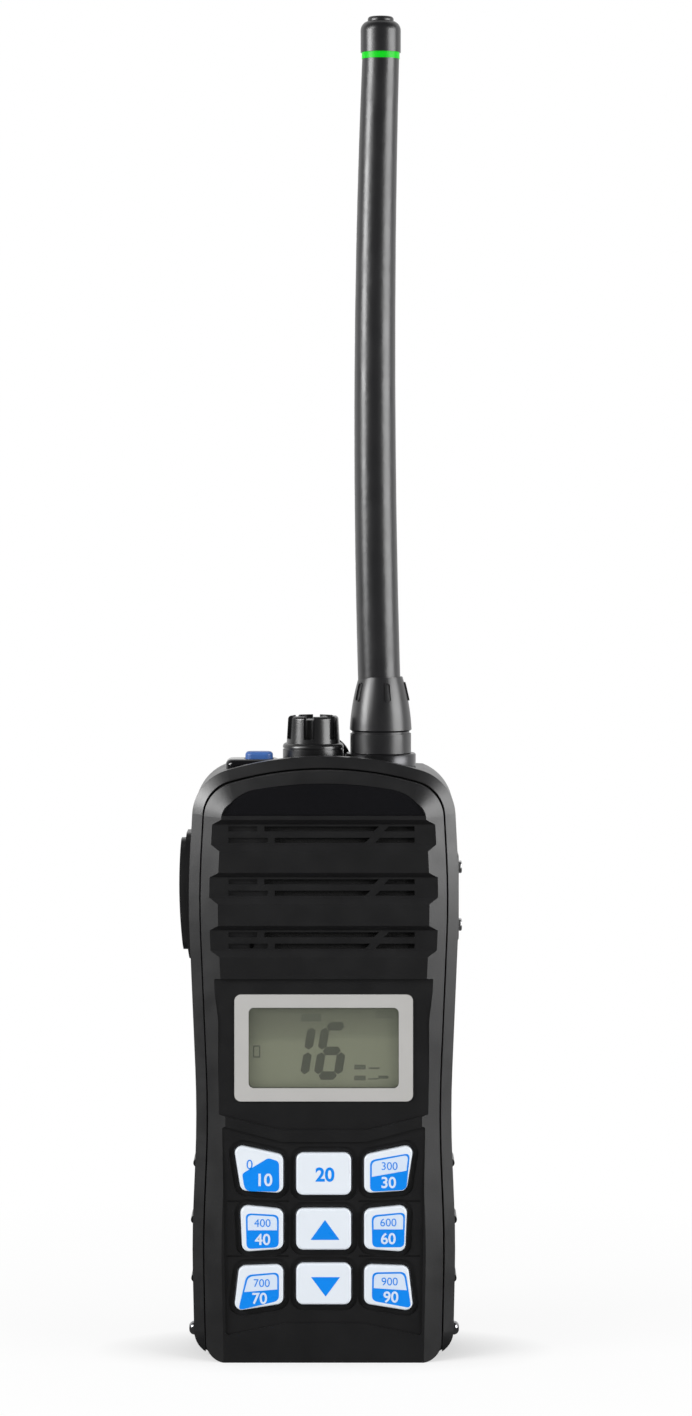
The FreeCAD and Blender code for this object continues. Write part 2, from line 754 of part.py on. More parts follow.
def rear_case():
    """Rear housing: side band, battery bay, head block with its deck, foot with the latch recess, ribs."""
    body = bevelled_prism(case_corners, BAND_BEVEL, BAND_BEVEL_DEEP, RIM_Y, BACK_Y)
    body = body.makeFillet(BACK_ROUND, edges_at_y(body, BACK_Y))
    ribs = []
    for z in RIB_Z:
        for side in (-1, 1):
            x = side * (side_half(z) - RIB_SINK)
            ribs.append(rod(RIB_R, at(x, RIB_FRONT_Y, z), at(x, RIB_BACK_Y, z)))
    body = joined([body] + ribs)
    seat = case_corners(BAND_WIDTH - GROOVE, -1.0, 0.5)
    room = case_corners(CASE_WALL, FLOOR_Z, BASE_R)
    head = front_prism(case_corners(CASE_WALL), BAY_Y - BAY_WALL - 1.0, BACK_Y - HEAD_WALL)
    cuts = [
        front_prism(seat, RIM_Y - 1.0, LEDGE_Y),
        front_prism(room, LEDGE_Y - 1.0, BAY_Y - BAY_WALL).common(slab(0.0, CEILING_Z)),
        head.common(slab(HEAD_Z + HEAD_WALL, CEILING_Z)),
        box(-FAR, FAR, BAY_Y, BACK_Y + 1.0, FOOT_TOP, HEAD_Z),
        box(-FAR, FAR, DECK_FRONT_Y, BACK_Y + 1.0, DECK_Z, CROWN_Z),
    ]
    cuts += deck_cuts() + side_cuts() + latch_cuts()
    for x in contact_xs():
        half = CONTACT_HALF + SNUG
        z = CONTACT_Z
        cuts.append(box(x - half, x + half, BAY_Y - BAY_WALL - 1.0, BAY_Y + 1.0, z - half, z + half))
    for x, z in screw_spots():
        cuts.append(rod(SCREW_R + SNUG, at(x, LEDGE_Y - 1.0, z), at(x, BAY_Y + 1.0, z)))
        seat_y = BAY_Y - SCREW_HEAD_DEPTH - SNUG
        cuts.append(rod(SCREW_HEAD_R + SNUG, at(x, seat_y, z), at(x, BAY_Y + 1.0, z)))
    return without(body, cuts)


def deck_cuts():
    """Holes in the deck for knob bush, antenna socket, power button and strap eye."""
    low = CEILING_Z - 2.0
    high = DECK_Z + 1.0
    wide = EYE_R + SNUG
    thick = EYE_THICK / 2 + SNUG
    return [
        rod(BUSH_R + SNUG, knob_axis(low), knob_axis(high)),
        rod(SOCKET_R + SNUG, antenna_axis(low), antenna_axis(high)),
        top_prism(button_corners(PLAY), low, high),
        box(EYE_X - wide, EYE_X + wide, EYE_Y - thick, EYE_Y + thick, DECK_Z - EYE_ROOT, high),
    ]


def side_cuts():
    """Seats in the side walls for the push-to-talk frame and the accessory cover, with holes behind them."""
    ptt_middle = (PTT_HIGH_Z + PTT_LOW_Z) / 2
    ptt_seat = pad(PTT_DEEP + SNUG, (PTT_HIGH_Z - PTT_LOW_Z) / 2 + SNUG, PTT_R, PTT_Y, ptt_middle)
    cover_seat = pad(COVER_DEEP + SNUG, COVER_HALF_Z + SNUG, PTT_R, COVER_Y, COVER_Z)
    cuts = [
        side_prism(ptt_seat, -FAR, -PTT_SINK),
        ptt_hole(-FAR, -CHEST_HALF + CASE_WALL + SIDE_REACH),
        side_prism(cover_seat, COVER_SINK, FAR),
    ]
    inside = CHEST_HALF - CASE_WALL - SIDE_REACH
    thread_end = COVER_SINK - COVER_THREAD - SNUG
    for z in jack_zs():
        cuts.append(rod(JACK_R + SNUG, at(inside, COVER_Y, z), at(FAR, COVER_Y, z)))
    for z in cover_screw_zs():
        cuts.append(rod(COVER_THREAD_R, at(thread_end, COVER_Y, z), at(FAR, COVER_Y, z)))
    return cuts


def ptt_hole(x0, x1):
    """Square passage for the push-to-talk key's stem."""
    half = PTT_STEM / 2 + PLAY + 0.2
    rise = PTT_STEM + PTT_STEM_PLAY
    return box(x0, x1, PTT_Y - half, PTT_Y + half, PTT_PEAK_Z - rise, PTT_PEAK_Z + rise)


def jack_zs():
    """Heights of the two accessory sockets."""
    return [COVER_Z - JACK_GAP / 2, COVER_Z + JACK_GAP / 2]


def cover_screw_zs():
    """Heights of the two cover screws."""
    return [COVER_Z - COVER_SCREW_GAP / 2, COVER_Z + COVER_SCREW_GAP / 2]


def latch_cuts():
    """Recess in the foot for the latch, and the hole for its cross pin."""
    half = LATCH_HALF + PLAY
    knuckle = LATCH_KNUCKLE_R + PLAY
    return [
        box(-half, half, PIN_Y, BACK_Y + 1.0, -1.0, LATCH_TOP_Z + PLAY),
        rod(knuckle, at(-half, PIN_Y, PIN_Z), at(half, PIN_Y, PIN_Z)),
        box(-half, half, PIN_Y - (PIN_Z - LATCH_LOW_Z) - PLAY, PIN_Y, -1.0, PIN_Z),
        box(-HOOK_HALF - PLAY, HOOK_HALF + PLAY, HOOK_FRONT_Y - PLAY, BACK_Y + 1.0, -1.0, FOOT_TOP + 1.0),
        rod(PIN_R, at(-FAR, PIN_Y, PIN_Z), at(FAR, PIN_Y, PIN_Z)),
    ]


def pin_outer():
    """Half length of the cross pin without its heads."""
    return side_half(PIN_Z + PIN_HEAD_R) + RUNNING


def latch_pin():
    """Bright cross pin with a round head at each side of the foot."""
    end = pin_outer()
    solids = [rod(PIN_R, at(-end, PIN_Y, PIN_Z), at(end, PIN_Y, PIN_Z))]
    for side in (-1, 1):
        start = at(side * end, PIN_Y, PIN_Z)
        tip = at(side * (end + PIN_HEAD_OUT), PIN_Y, PIN_Z)
        head = rod(PIN_HEAD_R, start, tip)
        head = head.makeFillet(PIN_HEAD_OUT * 0.8, edges_at_x(head, tip.x))
        solids.append(head)
    return joined(solids)


def edges_at_x(shape, x):
    """Edges that lie in the plane at this x."""
    return [e for e in shape.Edges if abs(e.CenterOfMass.x - x) < 1e-4]


def battery_latch():
    """Lever under the foot: knuckle on the pin, plate to the back, hook behind the battery's lip."""
    half = LATCH_HALF
    knuckle = rod(LATCH_KNUCKLE_R, at(-half, PIN_Y, PIN_Z), at(half, PIN_Y, PIN_Z))
    plate = box(-half, half, PIN_Y, HOOK_BACK_Y, LATCH_LOW_Z, LATCH_TOP_Z)
    hook = box(-HOOK_HALF, HOOK_HALF, HOOK_FRONT_Y, HOOK_BACK_Y, LATCH_LOW_Z, HOOK_TOP_Z)
    lever = joined([knuckle, plate, hook])
    return lever.cut(rod(PIN_R + RUNNING, at(-half - 1.0, PIN_Y, PIN_Z), at(half + 1.0, PIN_Y, PIN_Z)))


def display_frame():
    """Silver frame round the window."""
    y0 = FACE_Y + SCREEN_DEPTH - FRAME_PROUD
    y1 = FACE_Y + SCREEN_DEPTH
    outer = front_prism(pad(FRAME_HALF_X, FRAME_HALF_Z, FRAME_R, 0.0, DISPLAY_Z), y0, y1)
    view = pad(WINDOW_HALF_X, WINDOW_HALF_Z, WINDOW_R, 0.0, DISPLAY_Z)
    return outer.cut(front_prism(view, y0 - 1.0, y1 + 1.0))


def display_window():
    """Clear window in the casing's opening."""
    y0 = FACE_Y + SCREEN_DEPTH - FRAME_PROUD * 0.5
    corners = pad(WINDOW_HALF_X - RUNNING, WINDOW_HALF_Z - RUNNING, WINDOW_R, 0.0, DISPLAY_Z)
    return front_prism(corners, y0, y0 + WINDOW_THICK)


def lcd_front():
    """Depth of the display panel's front face."""
    return FACE_Y + FACE_WALL


def display_panel():
    """Liquid crystal panel behind the window, with its light guide and its two feet on the main board."""
    corners = pad(WINDOW_HALF_X + LCD_MARGIN, WINDOW_HALF_Z + LCD_MARGIN, 0.5, 0.0, DISPLAY_Z)
    panel = front_prism(corners, lcd_front(), lcd_front() + LCD_THICK)
    step = FACE_Y + SCREEN_DEPTH - FRAME_PROUD * 0.5 + WINDOW_THICK
    raised = pad(WINDOW_HALF_X - RUNNING, WINDOW_HALF_Z - RUNNING, WINDOW_R, 0.0, DISPLAY_Z)
    foot_y = lcd_front() + LCD_THICK - 0.2
    low = DISPLAY_Z - WINDOW_HALF_Z
    high = DISPLAY_Z + WINDOW_HALF_Z
    feet = [box(x - 0.8, x + 0.8, foot_y, BOARD_Y, low, high) for x in (-WINDOW_HALF_X, WINDOW_HALF_X)]
    return joined([panel, front_prism(raised, step, lcd_front() + 0.1)] + feet)


def key_back():
    """Depth of the back of every key at rest."""
    return FACE_Y + FACE_WALL + PLAY + KEY_FLANGE_THICK


def key(row, column):
    """One key: cap through the casing and a wider flange behind it."""
    outline = key_corners(row, column)
    front = FACE_Y + PAD_DEPTH - KEY_PROUD
    cap = front_prism(outline, front, key_back())
    cap = cap.makeFillet(KEY_EDGE, edges_at_y(cap, front))
    flange = front_prism(inset_corners(outline, -KEY_FLANGE), key_back() - KEY_FLANGE_THICK, key_back())
    return joined([cap, flange])


def mat_front():
    """Depth of the keypad mat's front face."""
    return key_back() + KEY_TRAVEL + RUNNING


def pad_board_corners():
    """Outline of the mat and board behind the keys."""
    low = FLOOR_Z + 1.0
    high = DISPLAY_Z - WINDOW_HALF_Z - LCD_MARGIN - 1.0
    return pad(BOARD_HALF + 1.0, (high - low) / 2, 1.0, 0.0, (high + low) / 2)


def keypad_mat():
    """Rubber mat between the keys and the domes."""
    return front_prism(pad_board_corners(), mat_front(), mat_front() + MAT_THICK)


def keypad_board():
    """Board with a snap dome under each key, on two bars from the main board."""
    y0 = mat_front() + MAT_THICK + DOME_THICK
    domes = []
    for row, column in all_keys():
        x = (column - 1) * (KEY_INNER + SIDE_KEYS[0][0]) / 2
        z = KEY_ROW_Z[row]
        domes.append(rod(DOME_R, at(x, y0 - DOME_THICK, z), at(x, y0 + 0.2, z)))
    board = front_prism(pad_board_corners(), y0, y0 + PAD_BOARD_THICK)
    bars = []
    half = BOARD_HALF - 2.0
    for z in (KEY_ROW_Z[0] + 6.0, KEY_ROW_Z[2] - 6.0):
        bars.append(box(-half, half, y0 + PAD_BOARD_THICK - 0.2, BOARD_Y, z - 1.2, z + 1.2))
    return joined([board] + bars + domes)


def main_board():
    """Main circuit board inside the rear case."""
    low = FLOOR_Z + 0.6
    corners = pad(BOARD_HALF, (BOARD_TOP_Z - low) / 2, 2.0, 0.0, (BOARD_TOP_Z + low) / 2)
    return front_prism(corners, BOARD_Y, BOARD_Y + BOARD_THICK)


def spreader_y():
    """Depth of the heat spreader's front face."""
    return BAY_Y - BAY_WALL - SPREADER_THICK


def heat_spreader():
    """Cast plate against the rear wall, with four posts that carry the board."""
    y0 = spreader_y()
    plate = front_prism(pad(BOARD_HALF - 1.0, SPREADER_HALF_Z, 2.0, 0.0, SPREADER_Z), y0, BAY_Y - BAY_WALL)
    posts = [rod(POST_R, at(x, BOARD_Y + BOARD_THICK, z), at(x, y0 + 0.5, z))
             for x in (-POST_X, POST_X) for z in POST_Z]
    shape = joined([plate] + posts)
    half = CONTACT_X + CONTACT_HALF * 2
    return shape.cut(box(-half, half, y0 - 1.0, BAY_Y, 0.0, CONTACT_Z + CONTACT_HALF * 3))


def speaker_y():
    """Depth of the speaker's front rim, behind the gauze."""
    return FACE_Y + FACE_WALL + GAUZE_THICK


def speaker_at(y):
    """Point on the speaker's axis."""
    return at(SPEAKER_X, y, SPEAKER_Z)


def speaker_gauze():
    """Thin black cloth behind the slots."""
    y0 = FACE_Y + FACE_WALL
    half_z = (BAND_COUNT - 1) * BAND_PITCH / 2 + BAND_FLOOR / 2 + BAND_SLOPE_ABOVE
    sheet = pad(BOARD_HALF + 1.4, half_z, 1.0, SPEAKER_X - 2.4, band_z((BAND_COUNT - 1) / 2))
    bosses = [rod(BOSS_R + PLAY, at(x, y0 - 1.0, z), at(x, y0 + 1.0, z)) for x, z in screw_spots()]
    return without(front_prism(sheet, y0, y0 + GAUZE_THICK), bosses)


def speaker_frame():
    """Speaker basket: rim, wall and back with the magnet's hole."""
    y0 = speaker_y()
    y1 = y0 + SPEAKER_DEPTH
    throat = SPEAKER_R - SPEAKER_LIP
    ring = tube(SPEAKER_R, throat, speaker_at(y0), speaker_at(y0 + 1.2))
    wall = tube(throat + 0.4, throat - 0.6, speaker_at(y0), speaker_at(y1))
    back = tube(throat, MAGNET_R, speaker_at(y1 - BASKET_THICK), speaker_at(y1))
    return joined([ring, wall, back])


def speaker_cone():
    """Paper cone with its centre cap."""
    y0 = speaker_y() + 0.6
    wide = SPEAKER_R - SPEAKER_LIP - 0.6
    depth = SPEAKER_DEPTH - 2.2
    outer = Part.makeCone(wide, CONE_R, depth, speaker_at(y0), at(0, 1, 0))
    inner = Part.makeCone(wide - 0.4, CONE_R - 0.4, depth, speaker_at(y0 - 0.35), at(0, 1, 0))
    return outer.cut(inner)


def speaker_magnet():
    """Magnet at the back of the speaker."""
    y0 = speaker_y() + SPEAKER_DEPTH - BASKET_THICK
    return rod(MAGNET_R - RUNNING, speaker_at(y0), speaker_at(y0 + MAGNET_DEPTH))


def mic_capsule():
    """Microphone behind its small hole."""
    z = band_z(BAND_COUNT - 1) - SLOT_OFFSET
    y0 = FACE_Y + FACE_WALL + GAUZE_THICK
    return rod(MIC_CAPSULE_R, at(MIC_X - 2.0, y0, z - 3.0), at(MIC_X - 2.0, y0 + MIC_CAPSULE_DEPTH, z - 3.0))


def knob_cap():
    """Knob: lobed grip with a dished crown on a grooved skirt, hollow below for the nut."""
    foot = DECK_Z + PLAY
    skirt = rod(SKIRT_R, knob_axis(foot), knob_axis(KNOB_SKIRT_Z))
    skirt = skirt.makeFillet(0.9, edges_at_z(skirt, KNOB_SKIRT_Z))
    grip_foot = KNOB_SKIRT_Z - 0.5
    grip = Part.makeCone(KNOB_LOW_R, KNOB_R, KNOB_TOP_Z - grip_foot, knob_axis(grip_foot), at(0, 0, 1))
    grip = grip.makeFillet(0.8, edges_at_z(grip, KNOB_TOP_Z))
    notches = []
    for i in range(LOBE_COUNT):
        angle = 2 * math.pi * (i + NOTCH_TURN) / LOBE_COUNT
        spot = knob_axis(KNOB_LOBE_Z) + at(NOTCH_OUT * math.cos(angle), NOTCH_OUT * math.sin(angle), 0)
        notches.append(rod(NOTCH_R, spot, spot + at(0, 0, KNOB_TOP_Z)))
    notches.append(rod(DISH_R, knob_axis(KNOB_TOP_Z - DISH_DEPTH), knob_axis(KNOB_TOP_Z + 1.0)))
    waist = knob_axis(DECK_Z + WAIST_RISE)
    groove = tube(SKIRT_R + 1.0, SKIRT_R - WAIST_CUT, waist, waist + at(0, 0, WAIST_HEIGHT))
    cap = joined([skirt.cut(groove), without(grip, notches)])
    room = rod(NUT_R + 2 * PLAY, knob_axis(foot - 1.0), knob_axis(BUSH_TOP_Z + PLAY))
    bore = rod(SHAFT_R, knob_axis(foot - 1.0), knob_axis(KNOB_TOP_Z - KNOB_ROOF))
    return without(cap, [room, bore])


def knob_shaft():
    """Control shaft from the encoder up into the knob."""
    return rod(SHAFT_R, knob_axis(CEILING_Z - ENCODER_DEPTH + 1.0), knob_axis(KNOB_TOP_Z - KNOB_ROOF))


def encoder_body():
    """Rotary control under the deck, with its threaded bush through it."""
    x, y = KNOB_X, DECK_Y
    half = ENCODER_HALF
    block = box(x - half, x + half, y - half, y + half, CEILING_Z - ENCODER_DEPTH, CEILING_Z)
    bush = rod(BUSH_R, knob_axis(CEILING_Z - 0.5), knob_axis(BUSH_TOP_Z))
    shape = joined([block, bush])
    bore_foot = CEILING_Z - ENCODER_DEPTH + 1.0 - SNUG
    return shape.cut(rod(SHAFT_R + RUNNING, knob_axis(bore_foot), knob_axis(KNOB_TOP_Z)))


def encoder_nut():
    """Six-sided nut that clamps the control to the deck."""
    spots = []
    for i in range(7):
        angle = math.pi * i / 3
        spots.append(knob_axis(DECK_Z) + at(NUT_R * math.cos(angle), NUT_R * math.sin(angle), 0))
    nut = Part.Face(Part.makePolygon(spots)).extrude(at(0, 0, NUT_THICK))
    return nut.cut(rod(BUSH_R, knob_axis(DECK_Z - 1.0), knob_axis(DECK_Z + NUT_THICK + 1.0)))


def antenna_socket():
    """Threaded socket through the deck."""
    barrel = rod(SOCKET_R, antenna_axis(CEILING_Z - SOCKET_DEPTH), antenna_axis(DECK_Z))
    bore_foot = FLANGE_TOP_Z - STUD_LENGTH - 0.5
    return barrel.cut(rod(STUD_R + RUNNING, antenna_axis(bore_foot), antenna_axis(DECK_Z + 1.0)))


def antenna_flange():
    """Machined ring on the deck, with fine turned grooves and a seat for the seal."""
    ring = rod(FLANGE_R, antenna_axis(DECK_Z), antenna_axis(FLANGE_TOP_Z))
    ring = ring.makeChamfer(0.25, edges_at_z(ring, FLANGE_TOP_Z))
    cuts = [rod(STUD_R + PLAY, antenna_axis(DECK_Z - 1.0), antenna_axis(FLANGE_TOP_Z + 1.0)),
            tube(SEAL_OUT_R + SNUG, SEAL_IN_R - SNUG, antenna_axis(FLANGE_TOP_Z - SEAL_DEPTH + SNUG),
                 antenna_axis(FLANGE_TOP_Z + 1.0))]
    return without(ring, cuts)


def antenna_seal():
    """Flat rubber ring between flange and antenna."""
    low = FLANGE_TOP_Z - SEAL_DEPTH + SNUG
    return tube(SEAL_OUT_R, SEAL_IN_R, antenna_axis(low), antenna_axis(low + SEAL_DEPTH))


def collar_foot():
    """Height of the antenna collar's underside."""
    return FLANGE_TOP_Z + SNUG + RUNNING


def antenna_collar():
    """Metal foot of the antenna: smooth collar on the stud that screws into the socket."""
    ring = rod(COLLAR_R, antenna_axis(collar_foot()), antenna_axis(COLLAR_TOP_Z))
    stud = rod(STUD_R, antenna_axis(FLANGE_TOP_Z - STUD_LENGTH), antenna_axis(whip_foot()))
    return joined([ring, stud])


def whip_foot():
    """Height of the whip's lower end, inside the sleeve."""
    return COLLAR_TOP_Z + COLLAR_GAP + 1.0


def antenna_sleeve():
    """Flared moulded sleeve above the collar: a concave profile that runs up into the whip."""
    foot = COLLAR_TOP_Z + COLLAR_GAP
    neck = COLLAR_R - COLLAR_GROOVE

    def spot(radius, z):
        return at(ANTENNA_X + radius, DECK_Y, z)

    flare = Part.BSplineCurve()
    lip = spot(SLEEVE_R, foot + 0.4)
    crown = spot(SLEEVE_TOP_R, SLEEVE_TOP_Z)
    flare.interpolate([lip, spot(SLEEVE_MID_R, SLEEVE_MID_Z), crown])
    under = [spot(STUD_R, COLLAR_TOP_Z), spot(neck, COLLAR_TOP_Z), spot(neck, foot), lip]
    edges = [Part.LineSegment(first, last).toShape() for first, last in zip(under, under[1:])]
    edges.append(flare.toShape())
    edges.append(Part.LineSegment(crown, spot(STUD_R, SLEEVE_TOP_Z)).toShape())
    edges.append(Part.LineSegment(spot(STUD_R, SLEEVE_TOP_Z), under[0]).toShape())
    sleeve = Part.Face(Part.Wire(edges)).revolve(antenna_axis(0.0), at(0, 0, 1), 360)
    return sleeve.cut(whip_solid())


def whip_centre(z):
    """Centre of the bowed whip at a height: a low curve from the sleeve to the ring."""
    low = whip_foot()
    t = (z - low) / (RING_Z - low)
    return at(ANTENNA_X - WHIP_BOW * 4 * t * (1 - t), DECK_Y, z)


def whip_solid():
    """Tapered, gently bowed whip, lofted through three circles."""
    rings = []
    for z, radius in ((whip_foot(), WHIP_LOW_R), (WHIP_MID_Z, WHIP_MID_R), (RING_Z, WHIP_TOP_R)):
        circle = Part.Circle(whip_centre(z), at(0, 0, 1), radius)
        rings.append(Part.Wire(circle.toShape()))
    return Part.makeLoft(rings, True, False)


def antenna_ring():
    """Bright band under the cap."""
    return rod(WHIP_TOP_R + SNUG, antenna_axis(RING_Z), antenna_axis(RING_TOP_Z))


def antenna_cap():
    """Rounded tip cap with a small crown."""
    shoulder = CAP_TOP_Z - CROWN_HEIGHT
    cap = rod(CAP_R, antenna_axis(RING_TOP_Z), antenna_axis(shoulder))
    cap = cap.makeFillet(CAP_R - CAP_CROWN_R + 0.6, edges_at_z(cap, shoulder))
    crown = rod(CAP_CROWN_R, antenna_axis(shoulder - CROWN_HEIGHT), antenna_axis(CAP_TOP_Z))
    crown = crown.makeFillet(0.7, edges_at_z(crown, CAP_TOP_Z))
    return joined([cap, crown])


def power_bezel():
    """Raised glossy surround of the power button."""
    outline = pad((BEZEL_RIGHT - BEZEL_LEFT) / 2, BEZEL_DEEP, 2.0, (BEZEL_LEFT + BEZEL_RIGHT) / 2, BUTTON_Y)
    block = top_prism(outline, DECK_Z, BEZEL_TOP_Z)
    block = block.makeFillet(1.3, edges_at_z(block, BEZEL_TOP_Z))
    return block.cut(top_prism(button_corners(PLAY), DECK_Z - 1.0, BEZEL_TOP_Z + 1.0))


def power_button():
    """Button cap on a stem through the deck."""
    cap = top_prism(button_corners(0.0), CEILING_Z - BUTTON_STEM, BUTTON_TOP_Z)
    return cap.makeFillet(0.8, edges_at_z(cap, BUTTON_TOP_Z))


def power_switch():
    """Small switch under the power button, on a bracket from the ceiling."""
    top = CEILING_Z - BUTTON_STEM - BUTTON_TRAVEL - RUNNING
    low = top - SWITCH_HEIGHT
    y0 = BUTTON_Y - SWITCH_HALF
    y1 = BUTTON_Y + SWITCH_HALF
    edge = BUTTON_X + SWITCH_HALF + 1.8
    body = box(BUTTON_X - SWITCH_HALF, BUTTON_X + SWITCH_HALF, y0, y1, low, top)
    leg = box(edge - 1.0, edge, y0, y1, low, CEILING_Z)
    base = box(BUTTON_X - SWITCH_HALF, edge, y0, y1, low - 0.6, low)
    return joined([body, base, leg])


def strap_eye():
    """Arched eye for a wrist strap, let into the deck."""
    y0 = EYE_Y - EYE_THICK / 2
    y1 = EYE_Y + EYE_THICK / 2
    arch = rod(EYE_R, at(EYE_X, y0, EYE_Z), at(EYE_X, y1, EYE_Z))
    arch = arch.common(box(EYE_X - EYE_R, EYE_X + EYE_R, y0, y1, EYE_Z, EYE_Z + EYE_R))
    root = box(EYE_X - EYE_R, EYE_X + EYE_R, y0, y1, DECK_Z - EYE_ROOT, EYE_Z)
    hole = rod(EYE_HOLE_R, at(EYE_X, y0 - 1.0, EYE_HOLE_Z), at(EYE_X, y1 + 1.0, EYE_HOLE_Z))
    below = box(EYE_X - 20.0, EYE_X + 20.0, y0 - 1.0, y1 + 1.0, 0.0, DECK_Z)
    return joined([arch, root]).cut(hole.cut(below))


def ptt_frame():
    """Frame of the push-to-talk key, let into the side."""
    frame = ptt_slab(PTT_LOW_Z, PTT_HIGH_Z, PTT_DEEP, PTT_OUT, PTT_SINK, PTT_BULGE_R, PTT_R)
    half_z = (PTT_KEY_HIGH_Z - PTT_KEY_LOW_Z) / 2 + PLAY
    middle = (PTT_KEY_HIGH_Z + PTT_KEY_LOW_Z) / 2
    room = side_prism(pad(PTT_KEY_DEEP + PLAY, half_z, PTT_KEY_CORNER + PLAY, PTT_Y, middle),
                      -FAR, -PTT_SINK - PTT_FRAME_FLOOR)
    return without(frame, [room, ptt_hole(-FAR, -PTT_SINK + 1.0)])


def ptt_key():
    """Push-to-talk key with a stem through the wall to its switch."""
    back = PTT_SINK + PTT_FRAME_FLOOR + PTT_TRAVEL + RUNNING
    cap = ptt_slab(PTT_KEY_LOW_Z, PTT_KEY_HIGH_Z, PTT_KEY_DEEP, PTT_KEY_OUT, back, PTT_KEY_R, PTT_KEY_CORNER)
    half = PTT_STEM / 2
    stem = box(-back - 0.5, -ptt_switch_x() - PTT_TRAVEL - RUNNING, PTT_Y - half, PTT_Y + half,
               PTT_PEAK_Z - PTT_STEM, PTT_PEAK_Z + PTT_STEM)
    return joined([cap, stem])


def ptt_switch_x():
    """Distance of the push-to-talk switch's face from the middle plane."""
    return CHEST_HALF - CASE_WALL - PTT_SWITCH_SINK


def ptt_switch():
    """Side switch on the board's edge."""
    low = PTT_PEAK_Z - PTT_STEM
    high = PTT_PEAK_Z + PTT_STEM
    return box(-ptt_switch_x(), -BOARD_HALF + 2.0, BOARD_Y + BOARD_THICK, PTT_Y + PTT_STEM, low, high)


def accessory_cover():
    """Flat cover over the accessory sockets."""
    plate = side_prism(pad(COVER_DEEP, COVER_HALF_Z, 2.0, COVER_Y, COVER_Z), COVER_SINK, COVER_OUT)
    plate = plate.makeFillet(0.4, edges_at_x(plate, COVER_OUT))
    holes = [rod(COVER_THREAD_R + RUNNING, at(COVER_SINK - 1.0, COVER_Y, z), at(COVER_OUT + 1.0, COVER_Y, z))
             for z in cover_screw_zs()]
    return without(plate, holes)


def cover_screws():
    """Two small screws of the accessory cover."""
    screws = []
    for z in cover_screw_zs():
        head = rod(COVER_SCREW_R, at(COVER_OUT, COVER_Y, z), at(COVER_SCREW_OUT, COVER_Y, z))
        head = head.makeFillet(0.35, edges_at_x(head, COVER_SCREW_OUT))
        thread = rod(COVER_THREAD_R, at(COVER_SINK - COVER_THREAD, COVER_Y, z), at(COVER_OUT, COVER_Y, z))
        slot = box(COVER_SCREW_OUT - 0.35, FAR, COVER_Y - 2.0, COVER_Y + 2.0, z - 0.2, z + 0.2)
        screws.append(joined([head, thread]).cut(slot))
    return Part.makeCompound(screws)


def jack_sockets():
    """Block with the two accessory sockets behind the cover."""
    half = JACK_GAP / 2 + JACK_R + SNUG
    outer = side_half(COVER_Z - half) - CASE_WALL - PLAY
    y0 = BOARD_Y + BOARD_THICK
    block = box(BOARD_HALF - 0.4, outer, y0, COVER_Y + JACK_DEEP, COVER_Z - half, COVER_Z + half)
    holes = [rod(JACK_R * 0.5, at(BOARD_HALF, COVER_Y, z), at(FAR, COVER_Y, z)) for z in jack_zs()]
    return without(block, holes)


def case_screws():
    """Four long screws that hold the two halves of the case."""
    screws = []
    for x, z in screw_spots():
        head = rod(SCREW_HEAD_R, at(x, BAY_Y - SCREW_HEAD_DEPTH, z), at(x, BAY_Y, z))
        thread = rod(SCREW_R, at(x, FACE_Y + FACE_WALL + 0.5, z), at(x, BAY_Y - SCREW_HEAD_DEPTH, z))
        slot = box(x - 0.35, x + 0.35, BAY_Y - 0.5, BAY_Y + 1.0, z - 1.5, z + 1.5)
        screws.append(joined([head, thread]).cut(slot))
    return Part.makeCompound(screws)


def contact_springs():
    """Three sprung contacts from the board through the bay wall."""
    pins = []
    for x in contact_xs():
        half = CONTACT_HALF
        pins.append(joined([
            box(x - half, x + half, BAY_Y - BAY_WALL, BAY_Y, CONTACT_Z - half, CONTACT_Z + half),
            box(x - half * 0.5, x + half * 0.5, BOARD_Y + BOARD_THICK, BAY_Y - BAY_WALL + 0.1,
                CONTACT_Z - half * 0.5, CONTACT_Z + half * 0.5)]))
    return Part.makeCompound(pins)


def battery_block():
    """Outer form of the battery, as wide as the case, rounded at its back edges."""
    front = BAY_Y + PLAY
    body = front_prism(case_corners(SNUG * 2), BAY_Y - 5.0, BACK_Y)
    body = body.makeFillet(BATTERY_ROUND, edges_at_y(body, BACK_Y))
    return body.common(box(-FAR, FAR, front, BACK_Y + 1.0, BATTERY_LOW_Z, HEAD_Z - PLAY))


def battery_case():
    """Battery casing: hollow, open to the front, with the lip for the latch."""
    body = battery_block()
    room = front_prism(lid_corners(-LID_LAP), BAY_Y, BACK_Y - BATTERY_WALL)
    lip = box(-HOOK_HALF - PLAY, HOOK_HALF + PLAY, HOOK_FRONT_Y - PLAY, BACK_Y + 1.0, 0.0, LIP_TOP_Z)
    lid = front_prism(lid_corners(SNUG), BAY_Y, BAY_Y + PLAY + LID_THICK)
    return without(body, [room, lip, lid] + [clip_screw_hole(spot) for spot in clip_screw_spots()])


def lid_corners(grow):
    """Outline of the battery's inner lid."""
    half_x = WAIST_HALF - BATTERY_WALL - LID_LAP + grow
    half_z = (HEAD_Z - LIP_TOP_Z) / 2 - BATTERY_WALL + grow
    return pad(half_x, half_z, 1.0, 0.0, (HEAD_Z + LIP_TOP_Z) / 2)


def battery_lid():
    """Lid on the battery's front, with windows for its contacts."""
    plate = front_prism(lid_corners(0.0), BAY_Y + PLAY, BAY_Y + PLAY + LID_THICK)
    windows = [box(x - CONTACT_HALF - SNUG, x + CONTACT_HALF + SNUG, BAY_Y, BAY_Y + 3.0,
                   CONTACT_Z - CONTACT_HALF - SNUG, CONTACT_Z + CONTACT_HALF + SNUG) for x in contact_xs()]
    return without(plate, windows)


